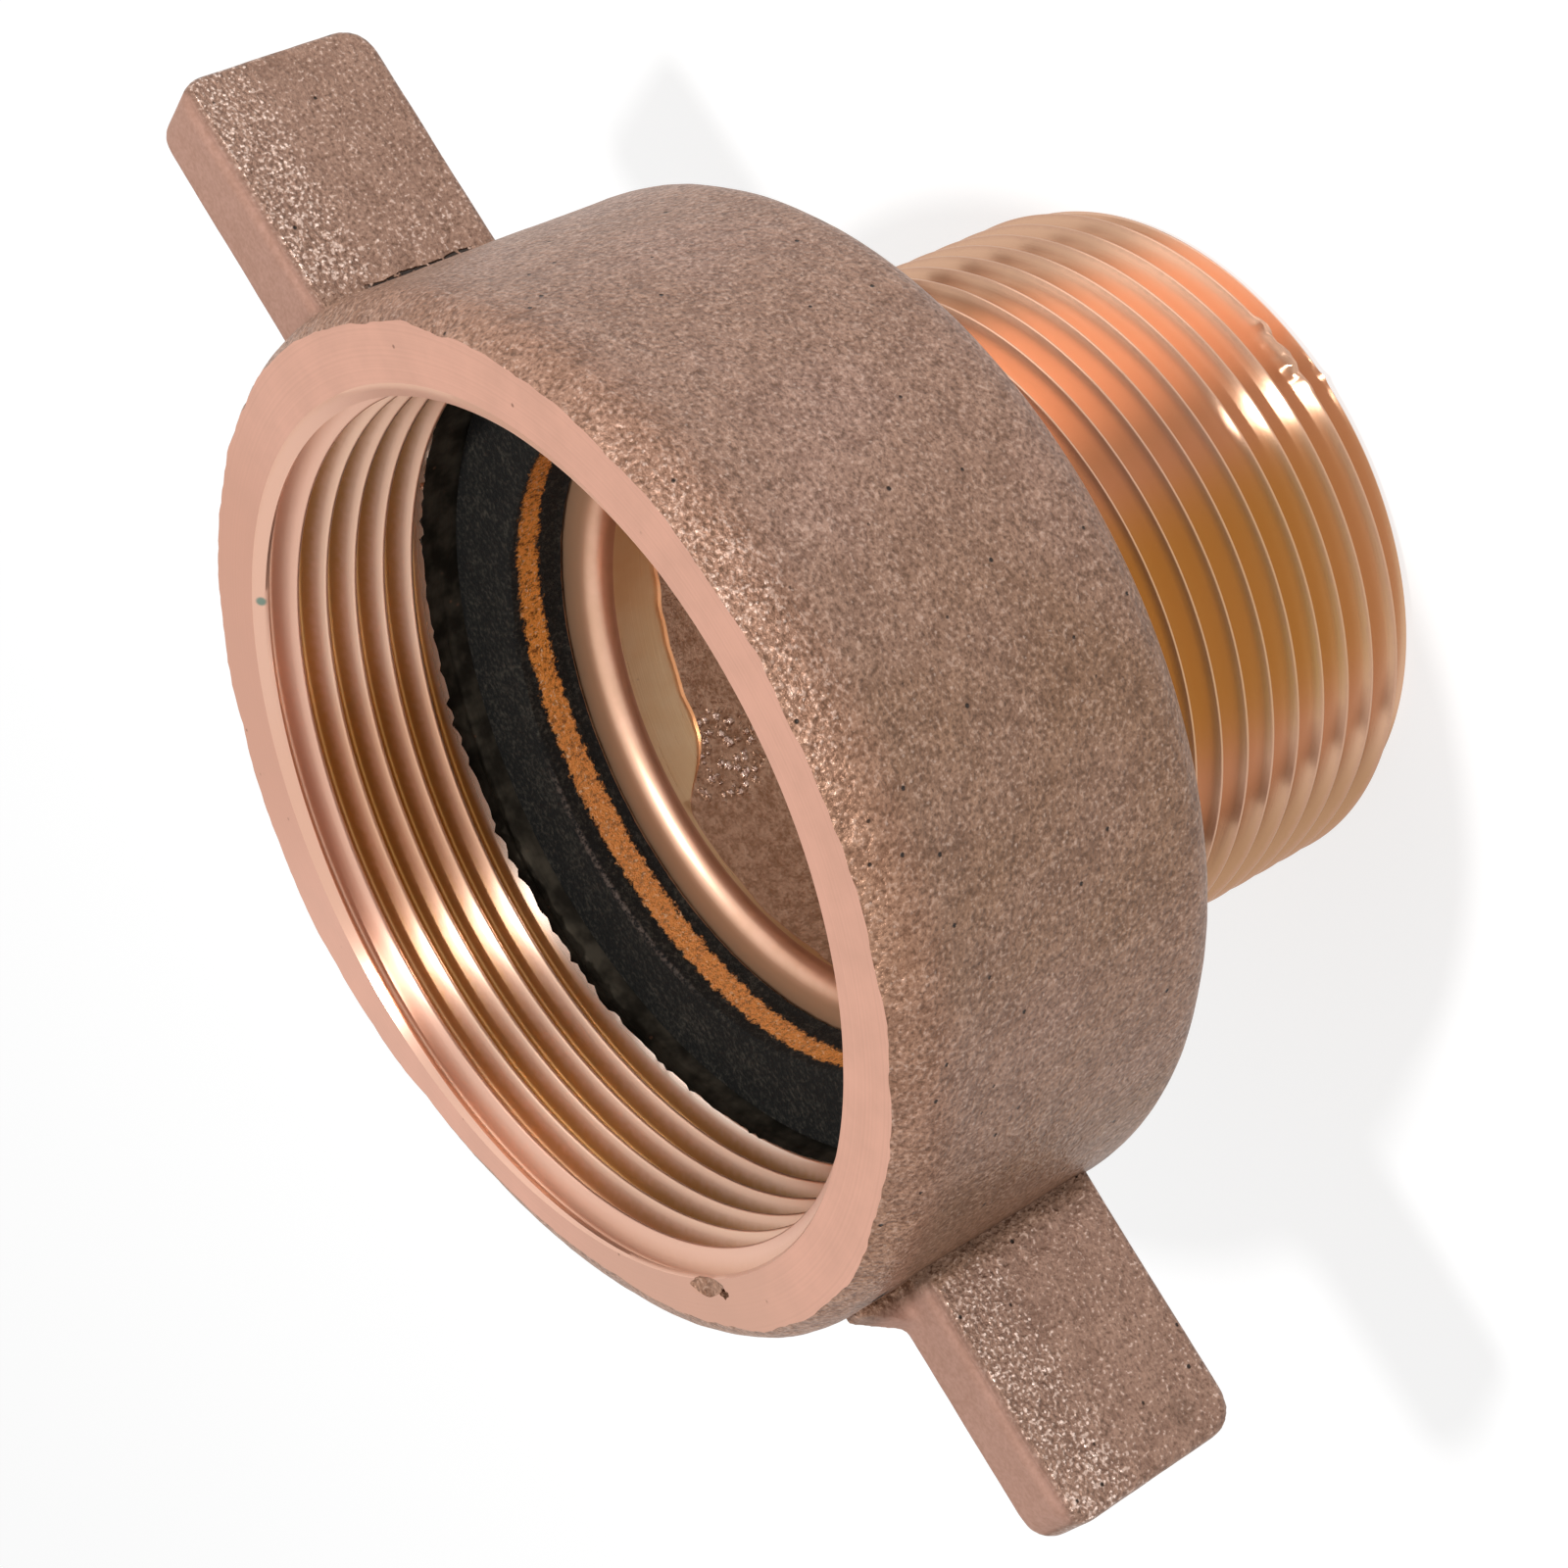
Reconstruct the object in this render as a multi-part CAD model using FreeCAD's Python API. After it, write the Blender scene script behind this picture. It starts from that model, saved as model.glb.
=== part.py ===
import FreeCAD, Part
import math
import os

# Swivel pipe adapter in cast gunmetal, lengths in millimetres.
# The axis of the waterway is Z. The adapter stands on the end of its male thread, mouth up,
# with the origin in the middle of that end, and the two lugs of the nut lie along X.

# Overall
total_length = 55.0
running_gap = 0.3

# Parallel pipe threads, 11 to the inch: 2 inch inside the nut, 1 1/2 inch on the tailpiece
nut_thread_major_dia = 59.614
tail_thread_major_dia = 47.803
thread_pitch = 25.4 / 11
thread_depth = 0.640327 * thread_pitch

# Cast blank of the nut
nut_length = 25.6
nut_body_dia = 69.8
nut_back_radius = 3.0
nut_front_bevel_width = 1.3
nut_front_bevel_depth = 2.6

# Turned inside of the nut
mouth_chamfer = 1.25
nut_thread_length = 13.8
relief_depth = 1.27
lip_thickness = 2.4
lip_clearance = 0.5
lip_chamfer = 0.5

# Lugs of the nut: they share a width and roundings, and the first, at +X, came out a little longer
lug_width = 14.8
lug_tip_corner = 2.2
lug_edge_radius = 1.0
lug_edge_limit = 0.4    # largest share of a lug's thickness that its edge rounding may take
first_lug_reach = 53.9
first_lug_from_face = 12.6
first_lug_root_thickness = 5.9
first_lug_tip_thickness = 5.5
second_lug_reach = 52.8
second_lug_from_face = 13.5
second_lug_root_thickness = 5.2
second_lug_tip_thickness = 4.8

# Sealing washer
washer_thickness = 4.0
washer_overhang = 0.15
washer_side_clearance = 0.4

# Tailpiece
flange_thickness = 2.7
flange_entry_clearance = 0.33
flange_edge_chamfer = 0.4
neck_relief = 0.3
neck_length = 2.8
entry_radius = 3.0
turned_bore_depth = 5.2
cast_bore_dia = 39.8
bore_step = 0.25
tail_end_chamfer = 1.3
bore_end_chamfer = 0.6

# Worked out radii
nut_thread_minor = nut_thread_major_dia / 2 - thread_depth
tail_thread_major = tail_thread_major_dia / 2
neck_radius = tail_thread_major - neck_relief
nut_body_radius = nut_body_dia / 2
relief_radius = nut_thread_minor + relief_depth
lip_bore_radius = tail_thread_major + lip_clearance
flange_radius = nut_thread_minor - flange_entry_clearance
cast_bore_radius = cast_bore_dia / 2
turned_bore_radius = cast_bore_radius + bore_step
entry_edge_radius = turned_bore_radius + entry_radius
washer_bore_radius = entry_edge_radius - washer_overhang
washer_outer_radius = relief_radius - washer_side_clearance

# Worked out heights, from the standing end up
mouth_face_z = total_length
nut_back_z = mouth_face_z - nut_length
lip_top_z = nut_back_z + lip_thickness
relief_top_z = mouth_face_z - nut_thread_length
flange_back_z = lip_top_z + running_gap
flange_face_z = flange_back_z + flange_thickness
washer_face_z = flange_face_z + washer_thickness
first_lug_mid_z = mouth_face_z - first_lug_from_face
second_lug_mid_z = mouth_face_z - second_lug_from_face

# A boring tool runs this far past the faces that it cuts through
overrun = 1.0


def tangent_corner(before, corner, after, radius):
    """Start, middle and end of the arc that rounds a corner of an outline."""
    into = (before - corner).normalize()
    out = (after - corner).normalize()
    half = into.getAngle(out) / 2
    setback = radius / math.tan(half)
    middle_line = (into + out).normalize()
    centre = corner + middle_line * (radius / math.sin(half))
    middle = centre - middle_line * radius
    return corner + into * setback, middle, corner + out * setback


def outline_face(points):
    """Face inside a closed outline. A point is x, z and, if it is rounded, the corner's radius."""
    corners = [FreeCAD.Vector(point[0], 0, point[1]) for point in points]
    radii = [point[2] if len(point) > 2 else 0 for point in points]
    edges = []
    starts = []
    ends = []
    for index, corner in enumerate(corners):
        before = corners[index - 1]
        after = corners[(index + 1) % len(corners)]
        if radii[index] > 0:
            start, middle, end = tangent_corner(before, corner, after, radii[index])
            edges.append(Part.Arc(start, middle, end).toShape())
        else:
            start = corner
            end = corner
        starts.append(start)
        ends.append(end)
    for index, end in enumerate(ends):
        start = starts[(index + 1) % len(starts)]
        edges.append(Part.LineSegment(end, start).toShape())
    return Part.Face(Part.Wire(Part.__sortEdges__(edges)))


def turned(points):
    """Solid turned about Z from half of its section."""
    return outline_face(points).revolve(FreeCAD.Vector(0, 0, 0), FreeCAD.Vector(0, 0, 1), 360)


def nut_blank():
    """Cast ring of the nut: rounded at the back, bevelled at the front."""
    return turned([
        (0, nut_back_z),
        (nut_body_radius, nut_back_z, nut_back_radius),
        (nut_body_radius, mouth_face_z - nut_front_bevel_depth),
        (nut_body_radius - nut_front_bevel_width, mouth_face_z),
        (0, mouth_face_z),
    ])


def lug(reach, mid_z, root_thickness, tip_thickness):
    """A lug along +X: a tongue with rounded tip corners that thins towards its tip."""
    root_x = (relief_radius + nut_body_radius) / 2
    low_z = mid_z - lug_width / 2
    high_z = mid_z + lug_width / 2
    across = FreeCAD.Vector(0, root_thickness, 0)
    side = outline_face([
        (root_x, low_z),
        (reach, low_z, lug_tip_corner),
        (reach, high_z, lug_tip_corner),
        (root_x, high_z),
    ])
    side.translate(-across)
    slab = side.extrude(across + across)

    half_root = root_thickness / 2
    half_tip = tip_thickness / 2
    plan = Part.Face(Part.makePolygon([
        FreeCAD.Vector(root_x, -half_root, low_z),
        FreeCAD.Vector(reach, -half_tip, low_z),
        FreeCAD.Vector(reach, half_tip, low_z),
        FreeCAD.Vector(root_x, half_root, low_z),
        FreeCAD.Vector(root_x, -half_root, low_z),
    ]))
    tongue = slab.common(plan.extrude(FreeCAD.Vector(0, 0, lug_width)))
    edge_radius = min(lug_edge_radius, lug_edge_limit * tip_thickness)
    return tongue.makeFillet(edge_radius, rim_edges(tongue))


def rim_edges(tongue):
    """Edges round the two wide faces of a lug, apart from those at its root."""
    found = []
    for face in tongue.Faces:
        normal = face.normalAt(0, 0)
        if abs(normal.y) > abs(normal.x) + abs(normal.z):
            found += [edge for edge in face.Edges if edge.BoundBox.XMax > nut_body_radius]
    return found


def lugged_casting():
    """The blank with both lugs."""
    first_lug = lug(
        first_lug_reach, first_lug_mid_z, first_lug_root_thickness, first_lug_tip_thickness)
    second_lug = lug(
        second_lug_reach, second_lug_mid_z, second_lug_root_thickness, second_lug_tip_thickness)
    second_lug.rotate(FreeCAD.Vector(0, 0, 0), FreeCAD.Vector(0, 0, 1), 180)
    return nut_blank().fuse([first_lug, second_lug]).removeSplitter()


def swivel_nut():
    """The nut: the lugged casting, bored, relieved behind the thread and left with a lip."""
    mouth_radius = nut_thread_minor + mouth_chamfer
    boring_tool = turned([
        (0, nut_back_z - overrun),
        (lip_bore_radius + lip_chamfer + overrun, nut_back_z - overrun),
        (lip_bore_radius, nut_back_z + lip_chamfer),
        (lip_bore_radius, lip_top_z),
        (relief_radius, lip_top_z),
        (relief_radius, relief_top_z),
        (nut_thread_minor, relief_top_z),
        (nut_thread_minor, mouth_face_z - mouth_chamfer),
        (mouth_radius + overrun, mouth_face_z + overrun),
        (0, mouth_face_z + overrun),
    ])
    return lugged_casting().cut(boring_tool)


def tailpiece():
    """The tail: a flange that the nut's lip bears on, and a stem with the male thread."""
    end_radius = tail_thread_major - tail_end_chamfer
    neck_bottom_z = flange_back_z - neck_length
    body = turned([
        (0, 0),
        (end_radius, 0),
        (tail_thread_major, tail_end_chamfer),
        (tail_thread_major, neck_bottom_z - neck_relief),
        (neck_radius, neck_bottom_z),
        (neck_radius, flange_back_z),
        (flange_radius - flange_edge_chamfer, flange_back_z),
        (flange_radius, flange_back_z + flange_edge_chamfer),
        (flange_radius, flange_face_z - flange_edge_chamfer),
        (flange_radius - flange_edge_chamfer, flange_face_z),
        (0, flange_face_z),
    ])
    turned_bottom_z = flange_face_z - turned_bore_depth
    bore_tool = turned([
        (0, -overrun),
        (cast_bore_radius + bore_end_chamfer + overrun, -overrun),
        (cast_bore_radius, bore_end_chamfer),
        (cast_bore_radius, turned_bottom_z - bore_step),
        (turned_bore_radius, turned_bottom_z),
        (turned_bore_radius, flange_face_z + overrun),
        (0, flange_face_z + overrun),
    ])
    return body.cut(bore_tool).cut(entry_cutter())


def entry_cutter():
    """Ring that rounds the inner edge of the flange into a bell mouth."""
    inner_radius = turned_bore_radius - overrun
    foot_z = flange_face_z - entry_radius
    edge = FreeCAD.Vector(entry_edge_radius, 0, flange_face_z)
    foot = FreeCAD.Vector(turned_bore_radius, 0, foot_z)
    inner_foot = FreeCAD.Vector(inner_radius, 0, foot_z)
    inner_top = FreeCAD.Vector(inner_radius, 0, flange_face_z)
    centre = FreeCAD.Vector(entry_edge_radius, 0, foot_z)
    middle = centre + FreeCAD.Vector(-1, 0, 1).normalize() * entry_radius
    section = Part.Face(Part.Wire([
        Part.Arc(edge, middle, foot).toShape(),
        Part.LineSegment(foot, inner_foot).toShape(),
        Part.LineSegment(inner_foot, inner_top).toShape(),
        Part.LineSegment(inner_top, edge).toShape(),
    ]))
    return section.revolve(FreeCAD.Vector(0, 0, 0), FreeCAD.Vector(0, 0, 1), 360)


def sealing_washer():
    """Flat washer that lies on the flange, inside the relief of the nut."""
    return turned([
        (washer_bore_radius, flange_face_z),
        (washer_outer_radius, flange_face_z),
        (washer_outer_radius, washer_face_z),
        (washer_bore_radius, washer_face_z),
    ])


nodes = {
    "swivel_nut": swivel_nut(),
    "tailpiece": tailpiece(),
    "sealing_washer": sealing_washer(),
}

os.makedirs("parts", exist_ok=True)
for name, shape in nodes.items():
    shape.exportStep("parts/" + name + ".step")
    print(name, "valid", shape.isValid(), "solids", len(shape.Solids), "volume", round(shape.Volume, 1))
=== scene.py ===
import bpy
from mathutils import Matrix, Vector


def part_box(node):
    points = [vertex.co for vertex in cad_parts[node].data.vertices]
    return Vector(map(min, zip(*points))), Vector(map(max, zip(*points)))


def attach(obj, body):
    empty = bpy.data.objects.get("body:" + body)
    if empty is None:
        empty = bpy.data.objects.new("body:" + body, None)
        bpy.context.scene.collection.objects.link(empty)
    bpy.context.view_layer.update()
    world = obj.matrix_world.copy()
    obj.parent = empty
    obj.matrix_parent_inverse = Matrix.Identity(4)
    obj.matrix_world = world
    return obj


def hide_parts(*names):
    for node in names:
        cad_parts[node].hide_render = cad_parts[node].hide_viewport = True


bl_info = {
    "name": "Swivel pipe adapter",
    "version": (1, 0, 0),
    "blender": (4, 5, 0),
    "location": "3D View > Sidebar > Adapter",
    "description": "Models and finishes a cast gunmetal swivel pipe adapter around its packed frame",
    "category": "Object",
}

import math

import bpy
import numpy as np
from mathutils import Matrix, Vector, noise

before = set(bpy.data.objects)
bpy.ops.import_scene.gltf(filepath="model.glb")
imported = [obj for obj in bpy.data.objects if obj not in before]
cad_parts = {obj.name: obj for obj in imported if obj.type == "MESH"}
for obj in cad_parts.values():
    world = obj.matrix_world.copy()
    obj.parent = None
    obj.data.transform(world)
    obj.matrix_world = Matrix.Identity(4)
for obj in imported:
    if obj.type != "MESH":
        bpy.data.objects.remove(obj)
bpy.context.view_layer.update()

MM = 0.001
INCH = 25.4 * MM
TURN = 2 * math.pi

NUT_LOW, NUT_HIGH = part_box("swivel_nut")
TAIL_LOW, TAIL_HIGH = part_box("tailpiece")
WASHER_LOW, WASHER_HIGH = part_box("sealing_washer")

# The photograph's camera, with the adapter standing on its male thread and the first lug along +X
CAMERA_PLACE = (-35.963 * MM, -191.676 * MM, 156.731 * MM)
CAMERA_RIGHT = (-0.52167, -0.38826, -0.75968)
CAMERA_UP = (0.84151, -0.38074, -0.38327)
CAMERA_LENS = 82.125
CAMERA_SENSOR = 36.0

# The lamps: the direction that each shines from, its distance from the adapter's middle, and that middle
KEY_AIM = (0.121, -0.485, 0.866)
KEY_DISTANCE = 0.45
SIDE_AIM = (0.847, -0.489, 0.208)
SIDE_DISTANCE = 0.7
LIT_MIDDLE = (0.0, 0.0, 30 * MM)

# Whitworth thread form: half of the angle between its flanks
FLANK_ANGLE = math.radians(27.5)

# Corners sharper than this stay sharp, points nearer than this become one, and the lugs stay
# this far inside the frame's box
SHARP_FROM = math.radians(38)
JOIN_WITHIN = 0.002 * MM
INSIDE = 0.05 * MM

# How finely each piece is divided round the axis
NUT_COLUMNS = 360
TAIL_COLUMNS = 320
WASHER_COLUMNS = 240

# Painted reflections on the male thread, in pale, golden and brown lengths: bearing round the axis, full
# within, and gone beyond, in degrees
PALE_REFLECTIONS = ((-67, 2, 20), (72, 3, 22))
GOLDEN_REFLECTIONS = ((-117, 10, 27), (22, 6, 30), (128, 8, 30))
BROWN_REFLECTIONS = ((-178, 12, 30),)

# Side on which the bore is turned further: its middle, full within and gone beyond, in degrees
TONGUE_BEARING = 10
TONGUE_FULL = 64
TONGUE_GONE = 80

# Bruises of the male thread: place, reach and how far the metal is raised or dented, in metres
THREAD_BRUISES = (
    ((0.0042, -0.0232, 0.0026), 0.0016, 0.0009),
    ((0.0018, -0.0233, 0.0023), 0.0017, 0.0009),
    ((-0.0002, -0.0233, 0.0016), 0.0014, 0.0008),
    ((-0.0217, -0.0083, 0.0154), 0.0008, -0.0004),
    ((-0.0230, -0.0053, 0.0035), 0.0008, -0.0004),
)

# Side on which the face is cut back: its middle and how far it goes either way, in degrees
LOW_BEARING = 125
LOW_SPREAD = 60

# Painted light and shade on the faced mouth: bearing, full within and gone beyond in degrees, strength and
# colour
FACE_LIGHT_AND_SHADE = (
    (75, 5, 55, 0.4, (0.76, 0.425, 0.315)),
    (155, 4, 30, 0.7, (0.60, 0.345, 0.25)),
    (38, 12, 40, 0.7, (0.60, 0.31, 0.215)),
)

# A spot of verdigris on the chamfer of the mouth, and how far it reaches
VERDIGRIS = (25.17 * MM, 14.71 * MM, 54.57 * MM)
VERDIGRIS_REACH = 0.45 * MM

# Middle of the nodules in the cast bore, beside the turned length
NODULES = (3.4 * MM, 19.6 * MM, 27.6 * MM)

# The broken, dented line of painted shade on the first lug's root: how far out it runs, and its lowest and
# highest point
SHADE_LINE_OUT = 36.25 * MM
SHADE_LINE_LOW = 37.4 * MM
SHADE_LINE_HIGH = 45.3 * MM

# The crease, painted as shade, where the near side of the second lug meets the body
CREASE_SIDE = -2.6 * MM
CREASE_RADIUS = 35.0 * MM

# The washer's tan core: the least black skin above it, and how its lower and its upper edge dip on
# one side: how deep, the middle of the dip and how far it goes either way, in degrees
CORE_SKIN = 0.4 * MM
CORE_LOW_DIP = (1.45 * MM, 92, 100)
CORE_HIGH_DIP = (1.15 * MM, 95, 100)

# The web on the second lug's root, as drawn before that lug is turned to -X: its side, its lowest
# and highest point, and how far it reaches out at its foot and its head
WEB_SIDE = -2.3 * MM
WEB_LOW = NUT_HIGH.z - 7.5 * MM
WEB_HIGH = NUT_HIGH.z - 3.0 * MM
WEB_FOOT = -NUT_LOW.x - 14.6 * MM
WEB_HEAD = NUT_HIGH.y + 0.3 * MM

# A ragged cavity in the body beside the second lug's web, painted dark as shade inside, and a spot of
# painted shade for a brown dimple near that lug's tip
ROOT_CAVITY = (-35.1 * MM, -2.3 * MM, 51.6 * MM)
TIP_SHADE_SPOT = (-50.3 * MM, -2.4 * MM, 37.7 * MM)


def length_property(name, description, default):
    """A length that a user may change."""
    return bpy.props.FloatProperty(name=name, description=description, default=default, unit="LENGTH")


def pitch_property(name, description, default):
    """A radius of a thread's form in pitches, as small as can be cut and up to the standard one."""
    return bpy.props.FloatProperty(
        name=name, description=description, default=default, min=0.01, max=0.137)


def colour_property(name, description, default):
    """A colour that a user may change."""
    return bpy.props.FloatVectorProperty(
        name=name, description=description, default=default, subtype="COLOR", min=0.0, max=1.0)


class AdapterNut(bpy.types.PropertyGroup):
    """Sizes of the swivel nut"""
    body_radius: length_property("Body radius", "Radius of the cast body", NUT_HIGH.y)
    face_radius: length_property("Face radius", "Outer radius of the faced mouth", 33.6 * MM)
    face_loss: length_property(
        "Face loss", "How far the face falls short where the casting lay low", 2.2 * MM)
    front_round: length_property("Front rounding", "Height of the corner round the face", 2.8 * MM)
    back_round: length_property("Back rounding", "Radius of the corner round the back", 3.0 * MM)
    unevenness: length_property("Unevenness", "Depth of the cast body's soft dents", 0.22 * MM)
    thread_radius: length_property(
        "Thread radius", "Radius at the crests of the female thread", 28.33 * MM)
    thread_crest_z: length_property(
        "Crest height", "Height of one crest of the female thread at +X", 54.35 * MM)
    crest_rounding: pitch_property(
        "Crest rounding", "Radius of the thread's crests, in pitches", 0.08)
    root_rounding: pitch_property("Root rounding", "Radius of the thread's roots, in pitches", 0.11)
    mouth_chamfer: length_property("Mouth chamfer", "Width of the chamfer at the mouth", 1.25 * MM)
    thread_end_z: length_property(
        "Thread end", "Height at which the female thread meets the relief", 41.3 * MM)
    run_out_length: length_property(
        "Run-out", "How far the thread's grooves run on into the relief", 1.8 * MM)
    relief_radius: length_property(
        "Relief radius", "Radius of the relief behind the thread", 29.6 * MM)
    lip_radius: length_property("Lip bore radius", "Radius of the hole in the lip", 24.4 * MM)
    lip_thickness: length_property(
        "Lip thickness", "Thickness of the lip that holds the tail", 2.4 * MM)
    lip_chamfer: length_property("Lip chamfer", "Width of the chamfer round the lip's hole", 0.5 * MM)


class AdapterLugs(bpy.types.PropertyGroup):
    """Sizes of the nut's two lugs"""
    width: length_property("Width", "Width of both lugs along the axis", 14.8 * MM)
    first_mid_z: length_property(
        "First middle", "Height of the middle of the first lug", NUT_HIGH.z - 12.6 * MM)
    first_root: length_property("First root", "Thickness of the first lug at its root", 5.9 * MM)
    first_tip: length_property("First tip", "Thickness of the first lug at its tip", 5.5 * MM)
    second_mid_z: length_property(
        "Second middle", "Height of the middle of the second lug", NUT_HIGH.z - 13.5 * MM)
    second_root: length_property("Second root", "Thickness of the second lug at its root", 5.2 * MM)
    second_tip: length_property("Second tip", "Thickness of the second lug at its tip", 4.8 * MM)
    overlap: length_property("Overlap", "How far the lugs start inside the body", 2.5 * MM)
    tip_corner: length_property("Tip corner", "Rounding of the corners of the tips", 2.2 * MM)
    edge: length_property("Edge", "Rounding of the edges of the lugs", 0.6 * MM)
    unevenness: length_property("Unevenness", "Depth of the lugs' soft dents", 0.15 * MM)


class AdapterTail(bpy.types.PropertyGroup):
    """Sizes of the threaded tail"""
    thread_radius: length_property(
        "Thread radius", "Radius at the crests of the male thread", 23.9 * MM)
    thread_crest_z: length_property(
        "Crest height", "Height of one crest of the male thread at +X", 21.68 * MM)
    crest_rounding: pitch_property(
        "Crest rounding", "Radius of the thread's crests, in pitches", 0.045)
    root_rounding: pitch_property("Root rounding", "Radius of the thread's roots, in pitches", 0.10)
    end_chamfer: length_property("End chamfer", "Width of the chamfer at the thread's end", 1.3 * MM)
    bore_chamfer: length_property("Bore chamfer", "Width of the chamfer at the bore's end", 0.6 * MM)
    neck_radius: length_property(
        "Neck radius", "Radius between the thread and the flange", 23.6 * MM)
    neck_z: length_property("Neck height", "Height at which the thread has run out", 29.3 * MM)
    flange_thickness: length_property("Flange thickness", "Thickness of the flange", 2.7 * MM)
    flange_edge: length_property("Flange edge", "Chamfer of the flange's edges", 0.4 * MM)
    bell_edge: length_property(
        "Bell edge", "Radius at which the entry of the bore starts", 23.15 * MM)
    bell_drop: length_property(
        "Bell drop", "How far the entry lies below the flange's face", 0.5 * MM)
    bell_slope: bpy.props.FloatProperty(
        name="Bell slope", description="Slope of the entry before it rounds into the bore",
        default=math.radians(15), subtype="ANGLE")
    bell_radius: length_property(
        "Bell rounding", "Radius with which the entry turns into the bore", 1.75 * MM)
    turned_radius: length_property(
        "Turned bore radius", "Radius of the turned end of the bore", 20.15 * MM)
    turned_end_z: length_property(
        "Turned end", "Height at which the turned end of the bore stops", 31.9 * MM)
    tongue_length: length_property(
        "Tongue length", "How much further the bore is turned on one side", 3.5 * MM)
    cast_radius: length_property("Cast bore radius", "Radius of the bore as cast", 19.9 * MM)


class AdapterWasher(bpy.types.PropertyGroup):
    """Sizes of the fibre washer"""
    inner_radius: length_property("Inner radius", "Radius of the washer's hole", 23.0 * MM)
    edge: length_property("Edge", "Rounding of the washer's edges", 0.2 * MM)
    lip_reach: length_property(
        "Lip reach", "How far the lower inner edge stands out into the hole", 0.1 * MM)
    lip_gap: length_property(
        "Lip gap", "Gap between that edge and the entry of the bore below it", 0.15 * MM)
    core_thickness: length_property(
        "Core thickness", "Thickness of the tan core where it is thinnest", 1.5 * MM)


class AdapterColours(bpy.types.PropertyGroup):
    """Main colours of the adapter"""
    skin_brown: colour_property("Brown skin", "Lighter tone of the brown cast skin", (0.41, 0.232, 0.143))
    skin_pink: colour_property("Pink skin", "Lighter tone of the pink cast skin", (0.53, 0.325, 0.245))
    lug_side: colour_property("Lug side", "Lighter tone of the lugs' wide sides", (0.50, 0.305, 0.225))
    lug_front: colour_property("Lug front", "Lighter tone of the lugs' front edges", (0.51, 0.30, 0.23))
    # Colour of the painted glints on the cast grains
    painted_glint: colour_property("Glint", "Cast grains that catch the light", (1.0, 0.78, 0.67))
    face: colour_property("Face", "Lighter tone of the faced mouth", (0.73, 0.40, 0.295))
    verdigris: colour_property("Verdigris", "Spot on the mouth's chamfer", (0.08, 0.24, 0.20))
    nut_crest: colour_property("Nut crests", "Crests of the female thread", (0.86, 0.565, 0.415))
    # The roots' colour is painted shade
    nut_root_shade: colour_property("Nut roots", "Roots of the female thread", (0.62, 0.345, 0.135))
    # Colours of the male thread; its pale, golden and brown lengths are painted reflections
    tail_thread: colour_property("Tail thread", "Male thread in general", (0.655, 0.40, 0.262))
    tail_pale_reflection: colour_property("Tail pale", "Pale lengths of the male thread", (0.92, 0.53, 0.35))
    tail_golden_reflection: colour_property("Tail golden", "Golden lengths of the male thread", (0.60, 0.365, 0.155))
    tail_brown_reflection: colour_property("Tail brown", "Brown length of the male thread", (0.45, 0.25, 0.135))
    bell_rim: colour_property("Bell rim", "Dull rim of the tail's entry", (0.47, 0.275, 0.165))
    washer_black: colour_property("Washer skin", "Dust on the black skins", (0.060, 0.054, 0.042))
    washer_core: colour_property("Washer core", "Lighter tone of the tan core", (0.98, 0.37, 0.07))


class AdapterStudio(bpy.types.PropertyGroup):
    """Light of the studio"""
    key_power: bpy.props.FloatProperty(
        name="Key lamp", description="Power of the small lamp above the camera, in watts",
        default=1.05, min=0.0)
    key_size: length_property("Key size", "Diameter of the small lamp", 36 * MM)
    side_power: bpy.props.FloatProperty(
        name="Side lamp", description="Power of the wide soft lamp beside the first lug, in watts",
        default=0.7, min=0.0)
    side_size: length_property("Side size", "Diameter of the wide lamp", 600 * MM)
    ambient: bpy.props.FloatProperty(
        name="Ambient", description="Strength of the soft light from all round",
        default=0.45, min=0.0)


class Value:
    """A socket of a material, for which Python arithmetic adds Math nodes."""

    def __init__(self, finish, socket):
        self.finish = finish
        self.socket = socket

    def maths(self, operation, *others):
        node = self.finish.add("Math", {"operation": operation})
        for index, operand in enumerate((self,) + others):
            self.finish.feed(node.inputs[index], operand)
        return Value(self.finish, node.outputs[0])

    def __add__(self, other):
        return self.maths("ADD", other)

    def __radd__(self, other):
        return self.maths("ADD", other)

    def __sub__(self, other):
        return self.maths("SUBTRACT", other)

    def __rsub__(self, other):
        return (self * -1) + other

    def __mul__(self, other):
        return self.maths("MULTIPLY", other)

    def __rmul__(self, other):
        return self.maths("MULTIPLY", other)

    def __truediv__(self, other):
        return self.maths("DIVIDE", other)

    def root(self):
        return self.maths("SQRT")

    def angle(self, across):
        """Angle of the point (across, self) round the axis."""
        return self.maths("ARCTAN2", across)

    def ramp(self, low, high):
        """0 below low, 1 above high and smooth between them."""
        node = self.finish.add(
            "MapRange", {"interpolation_type": "SMOOTHSTEP", "clamp": True},
            {"Value": self, "From Min": low, "From Max": high})
        return Value(self.finish, node.outputs["Result"])


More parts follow.
